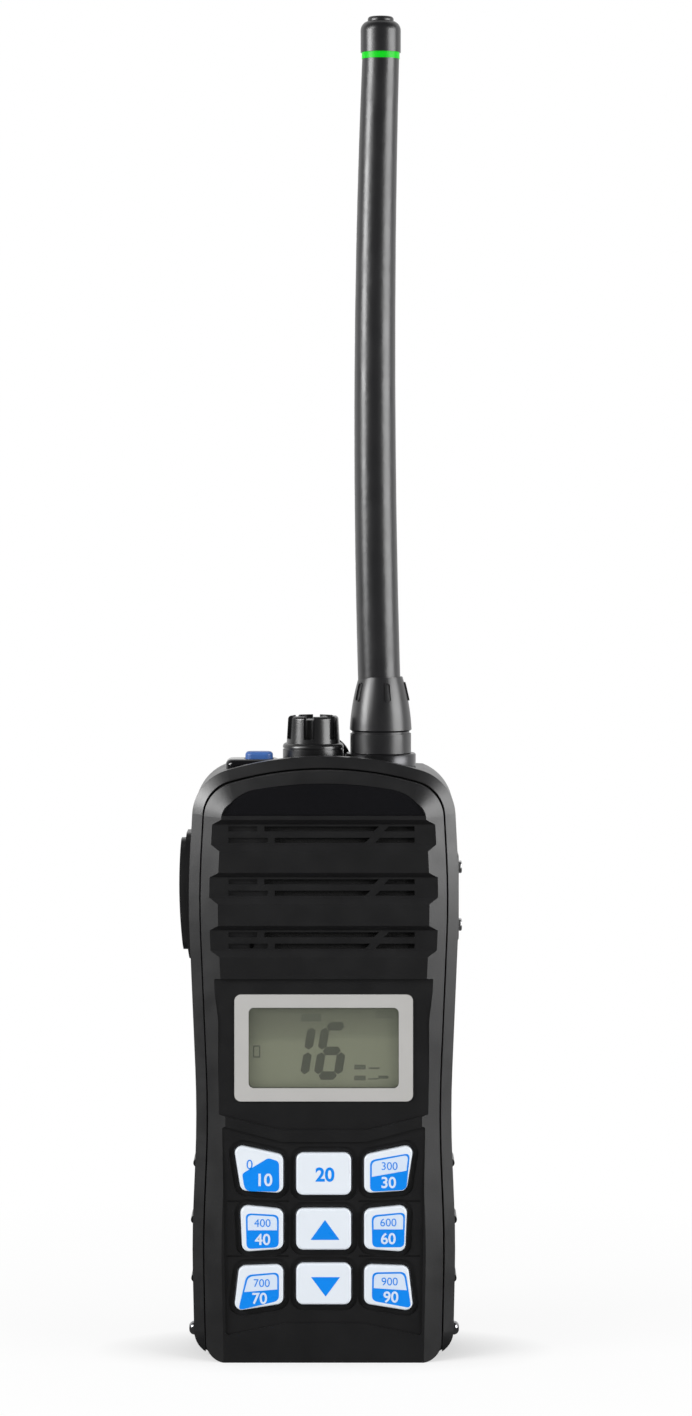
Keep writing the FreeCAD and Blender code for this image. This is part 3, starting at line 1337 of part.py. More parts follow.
def battery_contacts():
    """Contact plates in the battery's lid."""
    y0 = BAY_Y + PLAY
    plates = [box(x - CONTACT_HALF, x + CONTACT_HALF, y0, y0 + LID_THICK + CELL_GAP,
                  CONTACT_Z - CONTACT_HALF, CONTACT_Z + CONTACT_HALF) for x in contact_xs()]
    return Part.makeCompound(plates)


def battery_cells():
    """Two flat cells, one above the other."""
    y0 = BAY_Y + PLAY + LID_THICK + CELL_GAP
    y1 = BACK_Y - BATTERY_WALL - CELL_GAP
    inset = BATTERY_WALL + LID_LAP + CELL_GAP
    half_x = WAIST_HALF - inset - LID_LAP
    low = LIP_TOP_Z + inset
    high = HEAD_Z - inset
    middle = (low + high) / 2
    cells = []
    for z0, z1 in ((low, middle - CELL_GAP / 2), (middle + CELL_GAP / 2, high)):
        cells.append(front_prism(pad(half_x, (z1 - z0) / 2, 2.0, 0.0, (z0 + z1) / 2), y0, y1))
    return Part.makeCompound(cells)


def clip_screw_spots():
    """X and z of the two screws of the belt clip's base."""
    return [(side * CLIP_HALF / 2, CLIP_BASE_LOW_Z + CLIP_SCREW_HEAD_R + PLAY * 2) for side in (-1, 1)]


def clip_screw_hole(spot):
    """Hole for one screw of the belt clip, through base and battery wall."""
    x, z = spot
    return rod(CLIP_SCREW_R, at(x, BACK_Y - BATTERY_WALL - 1.0, z), at(x, BACK_Y + CLIP_GAP, z))


def clip_pin_y():
    """Depth of the belt clip's pin."""
    return BACK_Y + CLIP_GAP + CLIP_PIN_SINK


def clip_base():
    """Base of the belt clip with two ears for the pin."""
    plate = box(-CLIP_HALF, CLIP_HALF, BACK_Y, BACK_Y + CLIP_BASE_THICK, CLIP_BASE_LOW_Z, CLIP_BASE_HIGH_Z)
    ears = []
    inner = CLIP_HALF - CLIP_EAR
    y = clip_pin_y()
    for side in (-1, 1):
        x0, x1 = sorted([side * inner, side * CLIP_HALF])
        ears.append(box(x0, x1, BACK_Y, y, CLIP_PIN_Z - CLIP_EYE_R, CLIP_PIN_Z + CLIP_EYE_R))
        ears.append(rod(CLIP_EYE_R, at(x0, y, CLIP_PIN_Z), at(x1, y, CLIP_PIN_Z)))
    shape = joined([plate] + ears)
    cuts = [rod(CLIP_PIN_R, at(-FAR, clip_pin_y(), CLIP_PIN_Z), at(FAR, clip_pin_y(), CLIP_PIN_Z))]
    cuts += [clip_screw_hole(spot) for spot in clip_screw_spots()]
    return without(shape, cuts)


def clip_pin():
    """Pin of the belt clip."""
    return rod(CLIP_PIN_R, at(-CLIP_HALF, clip_pin_y(), CLIP_PIN_Z), at(CLIP_HALF, clip_pin_y(), CLIP_PIN_Z))


def clip_screws():
    """Two screws that hold the clip's base to the battery."""
    screws = []
    top = BACK_Y + CLIP_BASE_THICK
    for x, z in clip_screw_spots():
        head = rod(CLIP_SCREW_HEAD_R, at(x, top, z), at(x, top + CLIP_SCREW_HEAD, z))
        thread = rod(CLIP_SCREW_R, at(x, BACK_Y - BATTERY_WALL, z), at(x, top, z))
        screws.append(joined([head, thread]))
    return Part.makeCompound(screws)


def clip_plate():
    """Arm of the belt clip: knuckle on the pin, thumb pad above, long arm below with a turned-in tip."""
    y0 = BACK_Y + CLIP_GAP
    y1 = y0 + CLIP_THICK
    tip_y = y0 - CLIP_TIP
    profile = [(y0, CLIP_LOW_Z + 5.0, 1.5), (tip_y, CLIP_LOW_Z + 2.5, 1.0), (tip_y, CLIP_LOW_Z, 0.8),
               (y1 - 0.6, CLIP_LOW_Z, 2.0), (y1, CLIP_LOW_Z + 8.0, 6.0), (y1, CLIP_TOP_Z, 1.0),
               (y0, CLIP_TOP_Z, 1.0)]
    arm = side_prism(profile, -CLIP_HALF, CLIP_HALF)
    inner = CLIP_HALF - CLIP_EAR - PLAY
    knuckle = rod(CLIP_KNUCKLE_R, at(-inner, clip_pin_y(), CLIP_PIN_Z), at(inner, clip_pin_y(), CLIP_PIN_Z))
    slots = []
    for side in (-1, 1):
        ends = sorted([side * inner, side * (CLIP_HALF + 1.0)])
        reach = CLIP_EYE_R + PLAY + 0.5
        slots.append(box(ends[0], ends[1], y0 - reach, y1 + 1.0, CLIP_PIN_Z - reach, CLIP_PIN_Z + reach))
    bore = rod(CLIP_PIN_R + RUNNING, at(-FAR, clip_pin_y(), CLIP_PIN_Z), at(FAR, clip_pin_y(), CLIP_PIN_Z))
    return without(joined([without(arm, slots), knuckle]), [bore])


def clip_spring():
    """Bent leaf spring between the clip's base and its thumb pad."""
    y0 = BACK_Y + CLIP_BASE_THICK
    y1 = BACK_Y + CLIP_GAP - RUNNING
    t = CLIP_SPRING_THICK
    z0 = CLIP_PIN_Z + 3.0
    z1 = CLIP_BASE_HIGH_Z + 2.0
    profile = [(y0, z0, 0), (y0 + t, z0, 0), (y0 + t, z0 + 1.6, 0.8), (y1, z1, 0.2), (y1 - t, z1 + 0.4, 0.2),
               (y0, z0 + 2.2, 0.8)]
    return side_prism(profile, -CLIP_SPRING_HALF, CLIP_SPRING_HALF)


NODES = {
    "front_case": front_case,
    "rear_case": rear_case,
    "case_seal": case_seal,
    "name_plate": name_plate,
    "speaker_gauze": speaker_gauze,
    "speaker_frame": speaker_frame,
    "speaker_cone": speaker_cone,
    "speaker_magnet": speaker_magnet,
    "mic_capsule": mic_capsule,
    "display_frame": display_frame,
    "display_window": display_window,
    "display_panel": display_panel,
    "keypad_mat": keypad_mat,
    "keypad_board": keypad_board,
    "main_board": main_board,
    "heat_spreader": heat_spreader,
    "knob_cap": knob_cap,
    "knob_shaft": knob_shaft,
    "encoder_body": encoder_body,
    "encoder_nut": encoder_nut,
    "antenna_socket": antenna_socket,
    "antenna_flange": antenna_flange,
    "antenna_seal": antenna_seal,
    "antenna_collar": antenna_collar,
    "antenna_sleeve": antenna_sleeve,
    "antenna_whip": whip_solid,
    "antenna_ring": antenna_ring,
    "antenna_cap": antenna_cap,
    "power_bezel": power_bezel,
    "power_button": power_button,
    "power_switch": power_switch,
    "strap_eye": strap_eye,
    "ptt_frame": ptt_frame,
    "ptt_key": ptt_key,
    "ptt_switch": ptt_switch,
    "accessory_cover": accessory_cover,
    "cover_screws": cover_screws,
    "jack_sockets": jack_sockets,
    "case_screws": case_screws,
    "contact_springs": contact_springs,
    "latch_pin": latch_pin,
    "battery_latch": battery_latch,
    "battery_case": battery_case,
    "battery_lid": battery_lid,
    "battery_contacts": battery_contacts,
    "battery_cells": battery_cells,
    "clip_base": clip_base,
    "clip_pin": clip_pin,
    "clip_screws": clip_screws,
    "clip_plate": clip_plate,
    "clip_spring": clip_spring,
}


def main():
    """Write one file for each piece."""
    os.makedirs("parts", exist_ok=True)
    shapes = {name: make() for name, make in NODES.items()}
    for row, names in enumerate(KEY_NAMES):
        for column, name in enumerate(names):
            shapes[name] = key(row, column)
    for name, shape in shapes.items():
        solids = shape.Solids
        valid = all(s.isValid() for s in solids)
        print(name, len(solids), "solids", round(shape.Volume, 1), "mm3", "valid" if valid else "NOT VALID")
        shape.exportStep("parts/" + name + ".step")


main()
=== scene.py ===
# %% [markdown]
# # A handheld marine radio, dressed for its portrait
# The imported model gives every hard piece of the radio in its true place. This lesson adds what a model
# of solids lacks: the finishes, the printing on the keys, the picture on the display and the fine
# moulded marks. One unit is a metre, the front faces -Y and Z runs up the antenna.

# %% Open the frame
import json
import math
import bmesh
import bpy
import numpy as np
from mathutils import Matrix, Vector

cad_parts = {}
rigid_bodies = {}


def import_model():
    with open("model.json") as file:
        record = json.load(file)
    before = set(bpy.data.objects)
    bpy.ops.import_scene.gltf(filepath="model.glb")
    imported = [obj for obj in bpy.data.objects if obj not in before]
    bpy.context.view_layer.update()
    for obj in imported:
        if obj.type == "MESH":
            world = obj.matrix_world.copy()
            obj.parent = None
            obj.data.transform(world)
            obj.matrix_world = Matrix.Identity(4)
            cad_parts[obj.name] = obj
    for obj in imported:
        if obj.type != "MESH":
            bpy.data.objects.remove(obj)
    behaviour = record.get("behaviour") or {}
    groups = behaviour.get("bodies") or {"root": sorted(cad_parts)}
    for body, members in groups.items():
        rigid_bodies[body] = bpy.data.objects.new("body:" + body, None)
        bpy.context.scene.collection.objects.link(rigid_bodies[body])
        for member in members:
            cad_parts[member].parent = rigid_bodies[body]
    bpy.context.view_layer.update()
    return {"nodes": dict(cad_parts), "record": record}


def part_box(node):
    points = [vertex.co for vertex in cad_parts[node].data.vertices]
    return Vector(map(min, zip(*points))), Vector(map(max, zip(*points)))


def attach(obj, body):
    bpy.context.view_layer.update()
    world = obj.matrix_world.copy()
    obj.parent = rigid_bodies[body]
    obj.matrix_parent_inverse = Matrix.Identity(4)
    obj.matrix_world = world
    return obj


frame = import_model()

NODES = frame["nodes"]
MM = 0.001


# %% [markdown]
# ## The camera
# The photograph was taken from in front with a long lens. The upright edges stay parallel, the knob's
# rim is seen a little from above and the antenna's tip a little from below, so the lens stands level at
# the height of the antenna's lower third. The frame is moved down with the lens shift instead of a
# tilt, because a tilt would make the upright edges lean.

# %% Camera
CAMERA_FAR = 0.900
FRONT_Y = -0.013
EYE_HEIGHT = 0.204
FRAME_HEIGHT = 0.3233
FRAME_MIDDLE_X = 0.0051
FRAME_MIDDLE_Z = 0.1495

lens = bpy.data.cameras.new("portrait_lens")
lens.sensor_fit = "AUTO"
lens.sensor_width = 36.0
lens.lens = lens.sensor_width * CAMERA_FAR / FRAME_HEIGHT
lens.shift_y = (FRAME_MIDDLE_Z - EYE_HEIGHT) / FRAME_HEIGHT
camera = bpy.data.objects.new("portrait_camera", lens)
camera.location = (FRAME_MIDDLE_X, FRONT_Y - CAMERA_FAR, EYE_HEIGHT)
camera.rotation_euler = (math.radians(90.0), 0.0, 0.0)
bpy.context.scene.collection.objects.link(camera)
bpy.context.scene.camera = camera
print("lens", round(lens.lens, 1), "mm, shift", round(lens.shift_y, 3))


# %% [markdown]
# ## Materials in words
# Each finish is a small network of nodes. The helpers below keep the recipes short: one makes a material
# with its shader, one adds a node and sets its values, and one lays fine grain on the surface as a bump.
# All patterns are measured in metres on Object coordinates, because every piece keeps its own place in
# its mesh and the pattern then stays put from every side.

# %% Helpers for materials
def new_material(name):
    """Material, with its node tree and its shader."""
    made = bpy.data.materials.new(name)
    made.use_nodes = True
    tree = made.node_tree
    return made, tree, tree.nodes["Principled BSDF"]


def node(tree, kind, **values):
    """Node of a kind, with its settings and the values of its inputs."""
    made = tree.nodes.new(kind)
    for key, value in values.items():
        if hasattr(made, key):
            setattr(made, key, value)
        else:
            made.inputs[key.replace("_", " ")].default_value = value
    return made


def object_place(tree, stretch=(1.0, 1.0, 1.0)):
    """Object coordinates in metres, stretched along the axes."""
    place = node(tree, "ShaderNodeTexCoord")
    mapping = node(tree, "ShaderNodeMapping")
    mapping.inputs["Scale"].default_value = stretch
    tree.links.new(place.outputs["Object"], mapping.inputs["Vector"])
    return mapping.outputs["Vector"]


def noise(tree, place, scale, detail=3.0, roughness=0.5):
    """Cloudy noise with so many waves in a metre."""
    made = node(tree, "ShaderNodeTexNoise", Scale=scale, Detail=detail, Roughness=roughness)
    tree.links.new(place, made.inputs["Vector"])
    return made.outputs["Fac"]


def ramp(tree, value, stops):
    """Colours or greys along a value: stops are (place, (r, g, b))."""
    made = node(tree, "ShaderNodeValToRGB")
    band = made.color_ramp
    while len(band.elements) < len(stops):
        band.elements.new(0.5)
    for element, (spot, colour) in zip(band.elements, stops):
        element.position = spot
        element.color = (*colour, 1.0)
    tree.links.new(value, made.inputs["Fac"])
    return made.outputs["Color"]


def grain_bump(tree, shader, height, distance):
    """Bump of the shader's surface from a height between 0 and 1, times a distance."""
    bump = node(tree, "ShaderNodeBump", Strength=1.0, Distance=distance)
    tree.links.new(height, bump.inputs["Height"])
    tree.links.new(bump.outputs["Normal"], shader.inputs["Normal"])


def between(tree, value, old, new):
    """A value brought from one range to another, and held inside it."""
    made = node(tree, "ShaderNodeMapRange")
    made.inputs["From Min"].default_value, made.inputs["From Max"].default_value = old
    made.inputs["To Min"].default_value, made.inputs["To Max"].default_value = new
    tree.links.new(value, made.inputs["Value"])
    return made.outputs["Result"]


def combine(tree, operation, first, second):
    """Two values joined by a sum, a product or the larger of both; the second may be a number."""
    made = node(tree, "ShaderNodeMath", operation=operation)
    tree.links.new(first, made.inputs[0])
    if isinstance(second, float):
        made.inputs[1].default_value = second
    else:
        tree.links.new(second, made.inputs[1])
    return made.outputs[0]


def grey(level):
    """The same value for red, green and blue."""
    return (level, level, level)


def shaded(colour, factor):
    """A colour made lighter or darker."""
    return tuple(min(1.0, part * factor) for part in colour)


# %% [markdown]
# ## Moulded plastics and rubbers
# The casing is spark-eroded nylon: matte, with a grain of about a third of a millimetre, and a slight
# cloudiness where hands have polished it. Rubber parts are duller and softer. A moulded finish is noise
# at two sizes: the fine one is bump, the coarse one changes colour and roughness a little.

# %% Recipe for moulded pieces
CLOUD_WAVES = 90.0
GLOSS_WAVES = 160.0
GLOSS_SWING = 0.05


def moulded(name, colour, dull, grain_mm=0.35, depth_mm=0.012, cloud=0.12, gleam=0.5):
    """Plastic or rubber: colour times (1 +- cloud) by coarse noise, and bump by fine noise."""
    made, tree, shader = new_material(name)
    place = object_place(tree)
    coarse = noise(tree, place, CLOUD_WAVES, detail=4.0)
    tint = ramp(tree, coarse, [(0.3, shaded(colour, 1 - cloud)), (0.7, shaded(colour, 1 + cloud))])
    tree.links.new(tint, shader.inputs["Base Color"])
    stops = [(0.25, grey(dull - GLOSS_SWING)), (0.75, grey(dull + GLOSS_SWING))]
    rough = ramp(tree, noise(tree, place, GLOSS_WAVES), stops)
    tree.links.new(rough, shader.inputs["Roughness"])
    shader.inputs["Specular IOR Level"].default_value = gleam
    grain_bump(tree, shader, noise(tree, place, 1.0 / (grain_mm * MM), detail=2.0), depth_mm * MM)
    return made


CASE_BLACK = moulded("case_black", (0.0055, 0.0055, 0.0060), 0.38, gleam=0.75)
KNOB_BLACK = moulded("knob_black", (0.0055, 0.0055, 0.0060), 0.28, grain_mm=0.25, depth_mm=0.006,
                     gleam=0.75)
SEAL_RUBBER = moulded("seal_rubber", (0.010, 0.010, 0.010), 0.75)
PTT_RUBBER = moulded("ptt_rubber", (0.008, 0.008, 0.0085), 0.45, grain_mm=0.3, gleam=0.6)
ANTENNA_BLACK = moulded("antenna_black", (0.010, 0.010, 0.011), 0.34, grain_mm=0.5, depth_mm=0.004,
                        gleam=0.75)
GLOSS_BLACK = moulded("gloss_black", (0.004, 0.004, 0.005), 0.16, grain_mm=2.0, depth_mm=0.001,
                      cloud=0.05)
GAUZE_BLACK = moulded("gauze_black", (0.0025, 0.0025, 0.0025), 0.8, grain_mm=0.5, depth_mm=0.1)
INNER_BLACK = moulded("inner_black", (0.030, 0.030, 0.031), 0.5)
INNER_PAPER = moulded("inner_paper", (0.075, 0.072, 0.068), 0.85, grain_mm=0.8, depth_mm=0.05)
CELL_GREY = moulded("cell_grey", (0.26, 0.28, 0.30), 0.45, grain_mm=1.0, depth_mm=0.01)
BUTTON_BLUE = moulded("button_blue", (0.050, 0.140, 0.420), 0.42, grain_mm=0.3, depth_mm=0.005)
RING_GREEN = moulded("ring_green", (0.004, 0.520, 0.012), 0.34, grain_mm=0.8, depth_mm=0.002,
                     gleam=0.2)
KEY_WHITE = moulded("key_white", (0.70, 0.745, 0.80), 0.38, grain_mm=0.4, depth_mm=0.002, cloud=0.015)
BOARD_GREEN = moulded("board_green", (0.012, 0.090, 0.035), 0.36, grain_mm=1.2, depth_mm=0.006,
                      cloud=0.2)
print("moulded finishes made")


# %% [markdown]
# ## Metals
# The antenna's flange and the brass threads are turned on a lathe, so their marks run round the axis:
# they are waves along Z. Contacts are plated. The display's frame only looks like metal: it is silver
# paint on plastic, dull and even, so it takes the moulded recipe with a fine grain.

# %% Recipe for metals
WAVE_UNIT = 20.0
BLAST_WAVES = 5000.0
METAL_CLOUD_WAVES = 220.0
METAL_GLOSS_SWING = 0.06


def metal(name, colour, dull, phase_per_m=0.0, depth_mm=0.01):
    """Metal whose roughness varies by noise. Its bump is fine noise, or turned lines if asked: a wave
    along Z whose phase grows by so many radians a metre (the node's own phase is 20 x scale x place)."""
    made, tree, shader = new_material(name)
    shader.inputs["Metallic"].default_value = 1.0
    place = object_place(tree)
    cloud = noise(tree, place, METAL_CLOUD_WAVES, detail=4.0)
    tint = ramp(tree, cloud, [(0.3, shaded(colour, 0.9)), (0.7, shaded(colour, 1.08))])
    tree.links.new(tint, shader.inputs["Base Color"])
    stops = [(0.3, grey(dull - METAL_GLOSS_SWING)), (0.7, grey(dull + METAL_GLOSS_SWING))]
    rough = ramp(tree, cloud, stops)
    tree.links.new(rough, shader.inputs["Roughness"])
    if phase_per_m:
        wave = node(tree, "ShaderNodeTexWave", bands_direction="Z", Scale=phase_per_m / WAVE_UNIT,
                    Distortion=0.0)
        tree.links.new(place, wave.inputs["Vector"])
        grain_bump(tree, shader, wave.outputs["Fac"], depth_mm * MM)
    else:
        grain_bump(tree, shader, noise(tree, place, BLAST_WAVES), depth_mm * MM)
    return made


FRAME_SILVER = moulded("frame_silver", (0.415, 0.408, 0.395), 0.42, grain_mm=0.3, depth_mm=0.003,
                       cloud=0.03)
FLANGE_METAL = metal("flange_metal", (0.075, 0.075, 0.078), 0.30, phase_per_m=2200.0, depth_mm=0.06)
INNER_STEEL = metal("inner_steel", (0.55, 0.55, 0.56), 0.35)
SCREW_STEEL = metal("screw_steel", (0.62, 0.62, 0.63), 0.26)
PIN_CHROME = metal("pin_chrome", (0.30, 0.30, 0.31), 0.16, depth_mm=0.001)
CONTACT_GOLD = metal("contact_gold", (0.83, 0.62, 0.28), 0.22)
BRASS_THREAD = metal("brass_thread", (0.70, 0.55, 0.28), 0.30, phase_per_m=1600.0, depth_mm=0.1)
CAST_GREY = metal("cast_grey", (0.42, 0.42, 0.43), 0.55, depth_mm=0.05)
print("metals made")


# %% [markdown]
# ## Dressing the frame
# Every hard piece keeps its own mesh and takes the finish of its slot in the record. The window and
# the display get materials of their own further down.

# %% Give each node its finish
FINISHES = {
    "case_black": CASE_BLACK, "latch_black": CASE_BLACK, "clip_black": CASE_BLACK,
    "strap_eye_metal": CASE_BLACK, "knob_black": KNOB_BLACK, "gloss_black": GLOSS_BLACK,
    "antenna_black": ANTENNA_BLACK, "inner_black": INNER_BLACK, "gauze_black": GAUZE_BLACK,
    "seal_rubber": SEAL_RUBBER, "ptt_rubber": PTT_RUBBER, "inner_paper": INNER_PAPER,
    "cell_grey": CELL_GREY, "board_green": BOARD_GREEN, "ring_green": RING_GREEN,
    "button_blue": BUTTON_BLUE, "key_white": KEY_WHITE, "frame_silver": FRAME_SILVER,
    "inner_steel": INNER_STEEL, "screw_steel": SCREW_STEEL, "pin_chrome": PIN_CHROME,
    "flange_metal": FLANGE_METAL, "cast_grey": CAST_GREY, "brass_thread": BRASS_THREAD,
    "contact_gold": CONTACT_GOLD,
}
SLOT_OF = {part["node"]: part["material_slot"] for part in frame["record"]["subparts"]}


def dress(name, material):
    """Put one material on every slot of a node's mesh."""
    mesh = NODES[name].data
    if not mesh.materials:
        mesh.materials.append(material)
    for index in range(len(mesh.materials)):
        mesh.materials[index] = material


plain = [name for name in NODES if SLOT_OF[name] in FINISHES]
for name in plain:
    dress(name, FINISHES[SLOT_OF[name]])
print("dressed", len(plain), "of", len(NODES))


# %% [markdown]
# ## The display
# A liquid crystal display is a stack: a clear window, and below it an olive reflector with dark segments
# floating over it. Here the panel's own mesh takes the olive finish with painted shade: a little darker
# at its foot and much darker towards its top, standing in for the recess's shadow and for a painted
# reflection with a wavy edge. The segments are thin plates just in front of it. The window lets most
# light straight through and adds a faint haze.

# %% Olive panel and clear window
# The olive below carries painted shade and a painted reflection; the drift waves the edge of its dark
# top.
OLIVE = (0.190, 0.200, 0.137)
PAINTED_SHADE_EDGE_WAVES = 55.0
PAINTED_SHADE_EDGE_DRIFT = 0.30


def olive_with_painted_shade():
    """Olive plastic with painted shade: a ramp on Z, a little darker at the foot and much darker towards
    the top, whose steps drift a little with slow noise to give the painted reflection a wavy edge.
    """
    made, tree, shader = new_material("lcd_green")
    low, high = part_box("display_window")
    place = node(tree, "ShaderNodeTexCoord")
    split = node(tree, "ShaderNodeSeparateXYZ")
    tree.links.new(place.outputs["Object"], split.inputs["Vector"])
    height = between(tree, split.outputs["Z"], (low[2], high[2]), (0.0, 1.0))
    drift = combine(tree, "MULTIPLY", noise(tree, object_place(tree), PAINTED_SHADE_EDGE_WAVES, detail=0.0), PAINTED_SHADE_EDGE_DRIFT)
    height = combine(tree, "ADD", height, drift)
    # Painted shade: the stops darken the olive a little at the foot and most at the top, for the recess's
    # shadow and a reflection.
    tint = ramp(tree, height, [(0.12, shaded(OLIVE, 0.80)), (0.28, OLIVE), (0.70, shaded(OLIVE, 0.96)),
                               (0.78, shaded(OLIVE, 0.72)), (1.0, shaded(OLIVE, 0.52))])
    tree.links.new(tint, shader.inputs["Base Color"])
    rough = ramp(tree, noise(tree, object_place(tree), 4000.0), [(0.3, grey(0.38)), (0.7, grey(0.5))])
    tree.links.new(rough, shader.inputs["Roughness"])
    return made


def clear_window():
    """Clear plastic: a sharp gloss, and a thin haze of olive smears in place of full glass."""
    made, tree, shader = new_material("window_clear")
    shader.inputs["Roughness"].default_value = 0.05
    shader.inputs["IOR"].default_value = 1.49
    shader.inputs["Alpha"].default_value = 0.14
    smear = noise(tree, object_place(tree), 120.0)
    tint = ramp(tree, smear, [(0.2, (0.30, 0.33, 0.26)), (0.8, (0.36, 0.38, 0.31))])
    tree.links.new(tint, shader.inputs["Base Color"])
    return made


dress("display_panel", olive_with_painted_shade())
dress("display_window", clear_window())


# %% [markdown]
# ## Films, letters and other thin things
# Printing on a key is a film of paint a few hundredths of a millimetre thick. It could be an image on
# the key's face, but a thin solid keeps a crisp edge at any distance and travels with the key. One
# function below turns a loop of points into a closed film: rows run from the middle of its back over
# its edge to the middle of its front. Numbers come from Blender's own plain font, made into solids.

# %% Loops and closed surfaces
FILM = 0.02


def rounded_loop(corners, radii, steps=6):
    """Loop through corners (x, z). Near a corner P the path from A to B is
    (1-t)^2 A + 2t(1-t) P + t^2 B, with A and B on its two sides, as far from P as the corner's radius."""
    spots = np.array(corners, float)
    reach = np.broadcast_to(np.array(radii, float), len(spots))[:, None]
    back = np.roll(spots, 1, axis=0) - spots
    ahead = np.roll(spots, -1, axis=0) - spots
    start = spots + back / np.linalg.norm(back, axis=1)[:, None] * reach
    end = spots + ahead / np.linalg.norm(ahead, axis=1)[:, None] * reach
    t = np.linspace(0, 1, steps)[None, :, None]
    path = (1 - t) ** 2 * start[:, None] + 2 * t * (1 - t) * spots[:, None] + t ** 2 * end[:, None]
    return path.reshape(-1, 2)


def closed_surface(name, rows, material, body, ring=False):
    """Mesh from a grid (rows, points, 3): quads between neighbours, round in the second direction and,
    for a ring, in the first too. Poles are merged, and the faces are turned if the sum of a.(b x c) over
    the triangles, six times the volume, is negative."""
    high, wide = rows.shape[:2]
    i, j = np.meshgrid(np.arange(high if ring else high - 1), np.arange(wide), indexing="ij")
    up, right = (i + 1) % high, (j + 1) % wide
    quads = np.stack([i * wide + j, i * wide + right, up * wide + right, up * wide + j], axis=-1)
    quads = quads.reshape(-1, 4)
    points = rows.reshape(-1, 3)
    a, b, c, d = (points[quads[:, k]] for k in range(4))
    volume = (np.einsum("ij,ij->i", a, np.cross(b, c)) + np.einsum("ij,ij->i", a, np.cross(c, d))).sum()
    if volume < 0:
        quads = quads[:, ::-1]
    mesh = bpy.data.meshes.new(name)
    mesh.from_pydata(points.tolist(), [], quads.tolist())
    cleaner = bmesh.new()
    cleaner.from_mesh(mesh)
    bmesh.ops.remove_doubles(cleaner, verts=cleaner.verts, dist=1e-7)
    bmesh.ops.dissolve_degenerate(cleaner, edges=cleaner.edges, dist=1e-8)
    cleaner.to_mesh(mesh)
    cleaner.free()
    mesh.materials.append(material)
    made = bpy.data.objects.new(name, mesh)
    bpy.context.scene.collection.objects.link(made)
    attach(made, body)
    return made


def film(name, loop, face_y, material, body, layer=0):
    """Film on a plane that faces -Y: each row is the loop times a share, at a depth, from the middle of
    the back to the middle of the front."""
    middle = loop.mean(axis=0)
    back = face_y - layer * FILM
    shares = np.array([0.0, 1.0, 1.0, 0.0])[:, None, None]
    depths = np.array([back, back, back - FILM, back - FILM])
    flat = middle + shares * (loop[None] - middle)
    depth = np.broadcast_to(depths[:, None], flat.shape[:2])
    rows = np.stack([flat[..., 0], depth, flat[..., 1]], axis=-1)
    return closed_surface(name, rows * MM, material, body)


def letters(name, words, middle, height, material, body, layer=0, weight=0.0):
    """Plain numbers as solids: drawn flat with a depth of 1, made a mesh, then stood up. Place in the
    front view = (drawn - middle of drawn) x height / drawn height + middle."""
    curve = bpy.data.curves.new(name, "FONT")
    curve.body = words
    curve.extrude = 0.5
    curve.offset = weight
    drawn = bpy.data.objects.new(name + "_drawn", curve)
    bpy.context.scene.collection.objects.link(drawn)
    bpy.context.view_layer.update()
    mesh = bpy.data.meshes.new_from_object(drawn.evaluated_get(bpy.context.evaluated_depsgraph_get()))
    bpy.data.objects.remove(drawn)
    flat = np.empty(len(mesh.vertices) * 3)
    mesh.vertices.foreach_get("co", flat)
    flat = flat.reshape(-1, 3)
    low, high = flat.min(axis=0), flat.max(axis=0)
    size = height / (high[1] - low[1])
    spots = (flat[:, :2] - (low[:2] + high[:2]) / 2) * size + np.array(middle)
    depth = KEY_FACE - layer * FILM - (flat[:, 2] + 0.5) * FILM
    mesh.vertices.foreach_set("co", (np.stack([spots[:, 0], depth, spots[:, 1]], axis=1) * MM).ravel())
    mesh.materials.clear()
    mesh.materials.append(material)
    made = bpy.data.objects.new(name, mesh)
    bpy.context.scene.collection.objects.link(made)
    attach(made, body)
    return made


# %% [markdown]
# ## Printing on the keys
# The side keys carry a blue panel with a pale upper half and a plain number on each half; the two
# middle keys below carry an arrow each. Ink is thin and a little glossier than the key, with the faint
# mottle of a printed film. Each film lies on the one below it, so its depth is counted in films from
# the key's face. The places are read off the front view in millimetres.

# %% Inks
INK_BLUE = moulded("ink_blue", (0.0, 0.215, 0.76), 0.30, grain_mm=0.5, depth_mm=0.001, cloud=0.03,
                   gleam=0.2)
INK_PALE = moulded("ink_pale", (0.60, 0.69, 0.82), 0.34, grain_mm=0.5, depth_mm=0.001, cloud=0.01)
print("inks made")

# %% Print each key
KEY_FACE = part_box("key_up")[0][1] / MM
PANEL_CORNER = 1.25
PANEL_LINE = 0.40
NUMBER_HIGH = 2.6
SMALL_HIGH = 1.8
PANELS = {
    "key_top_right": ([(10.6, 39.1), (18.9, 39.5), (19.7, 47.9), (10.6, 46.3)], 42.4, 43.8, "30"),
    "key_middle_right": ([(11.1, 26.4), (18.4, 26.4), (18.6, 34.4), (10.95, 33.7)], 30.4, 30.4, "60"),
    "key_low_right": ([(11.0, 14.2), (20.0, 12.5), (18.7, 20.8), (11.1, 20.7)], 17.0, 16.5, "90"),
    "key_middle_left": ([(-17.6, 26.0), (-10.25, 26.4), (-10.25, 33.8), (-17.8, 34.2)],
                        30.2, 30.2, "40"),
    "key_low_left": ([(-19.5, 12.0), (-10.2, 14.2), (-10.2, 20.7), (-17.6, 20.1)], 16.1, 16.7, "70"),
}
print("key face at", round(KEY_FACE, 3), "mm")


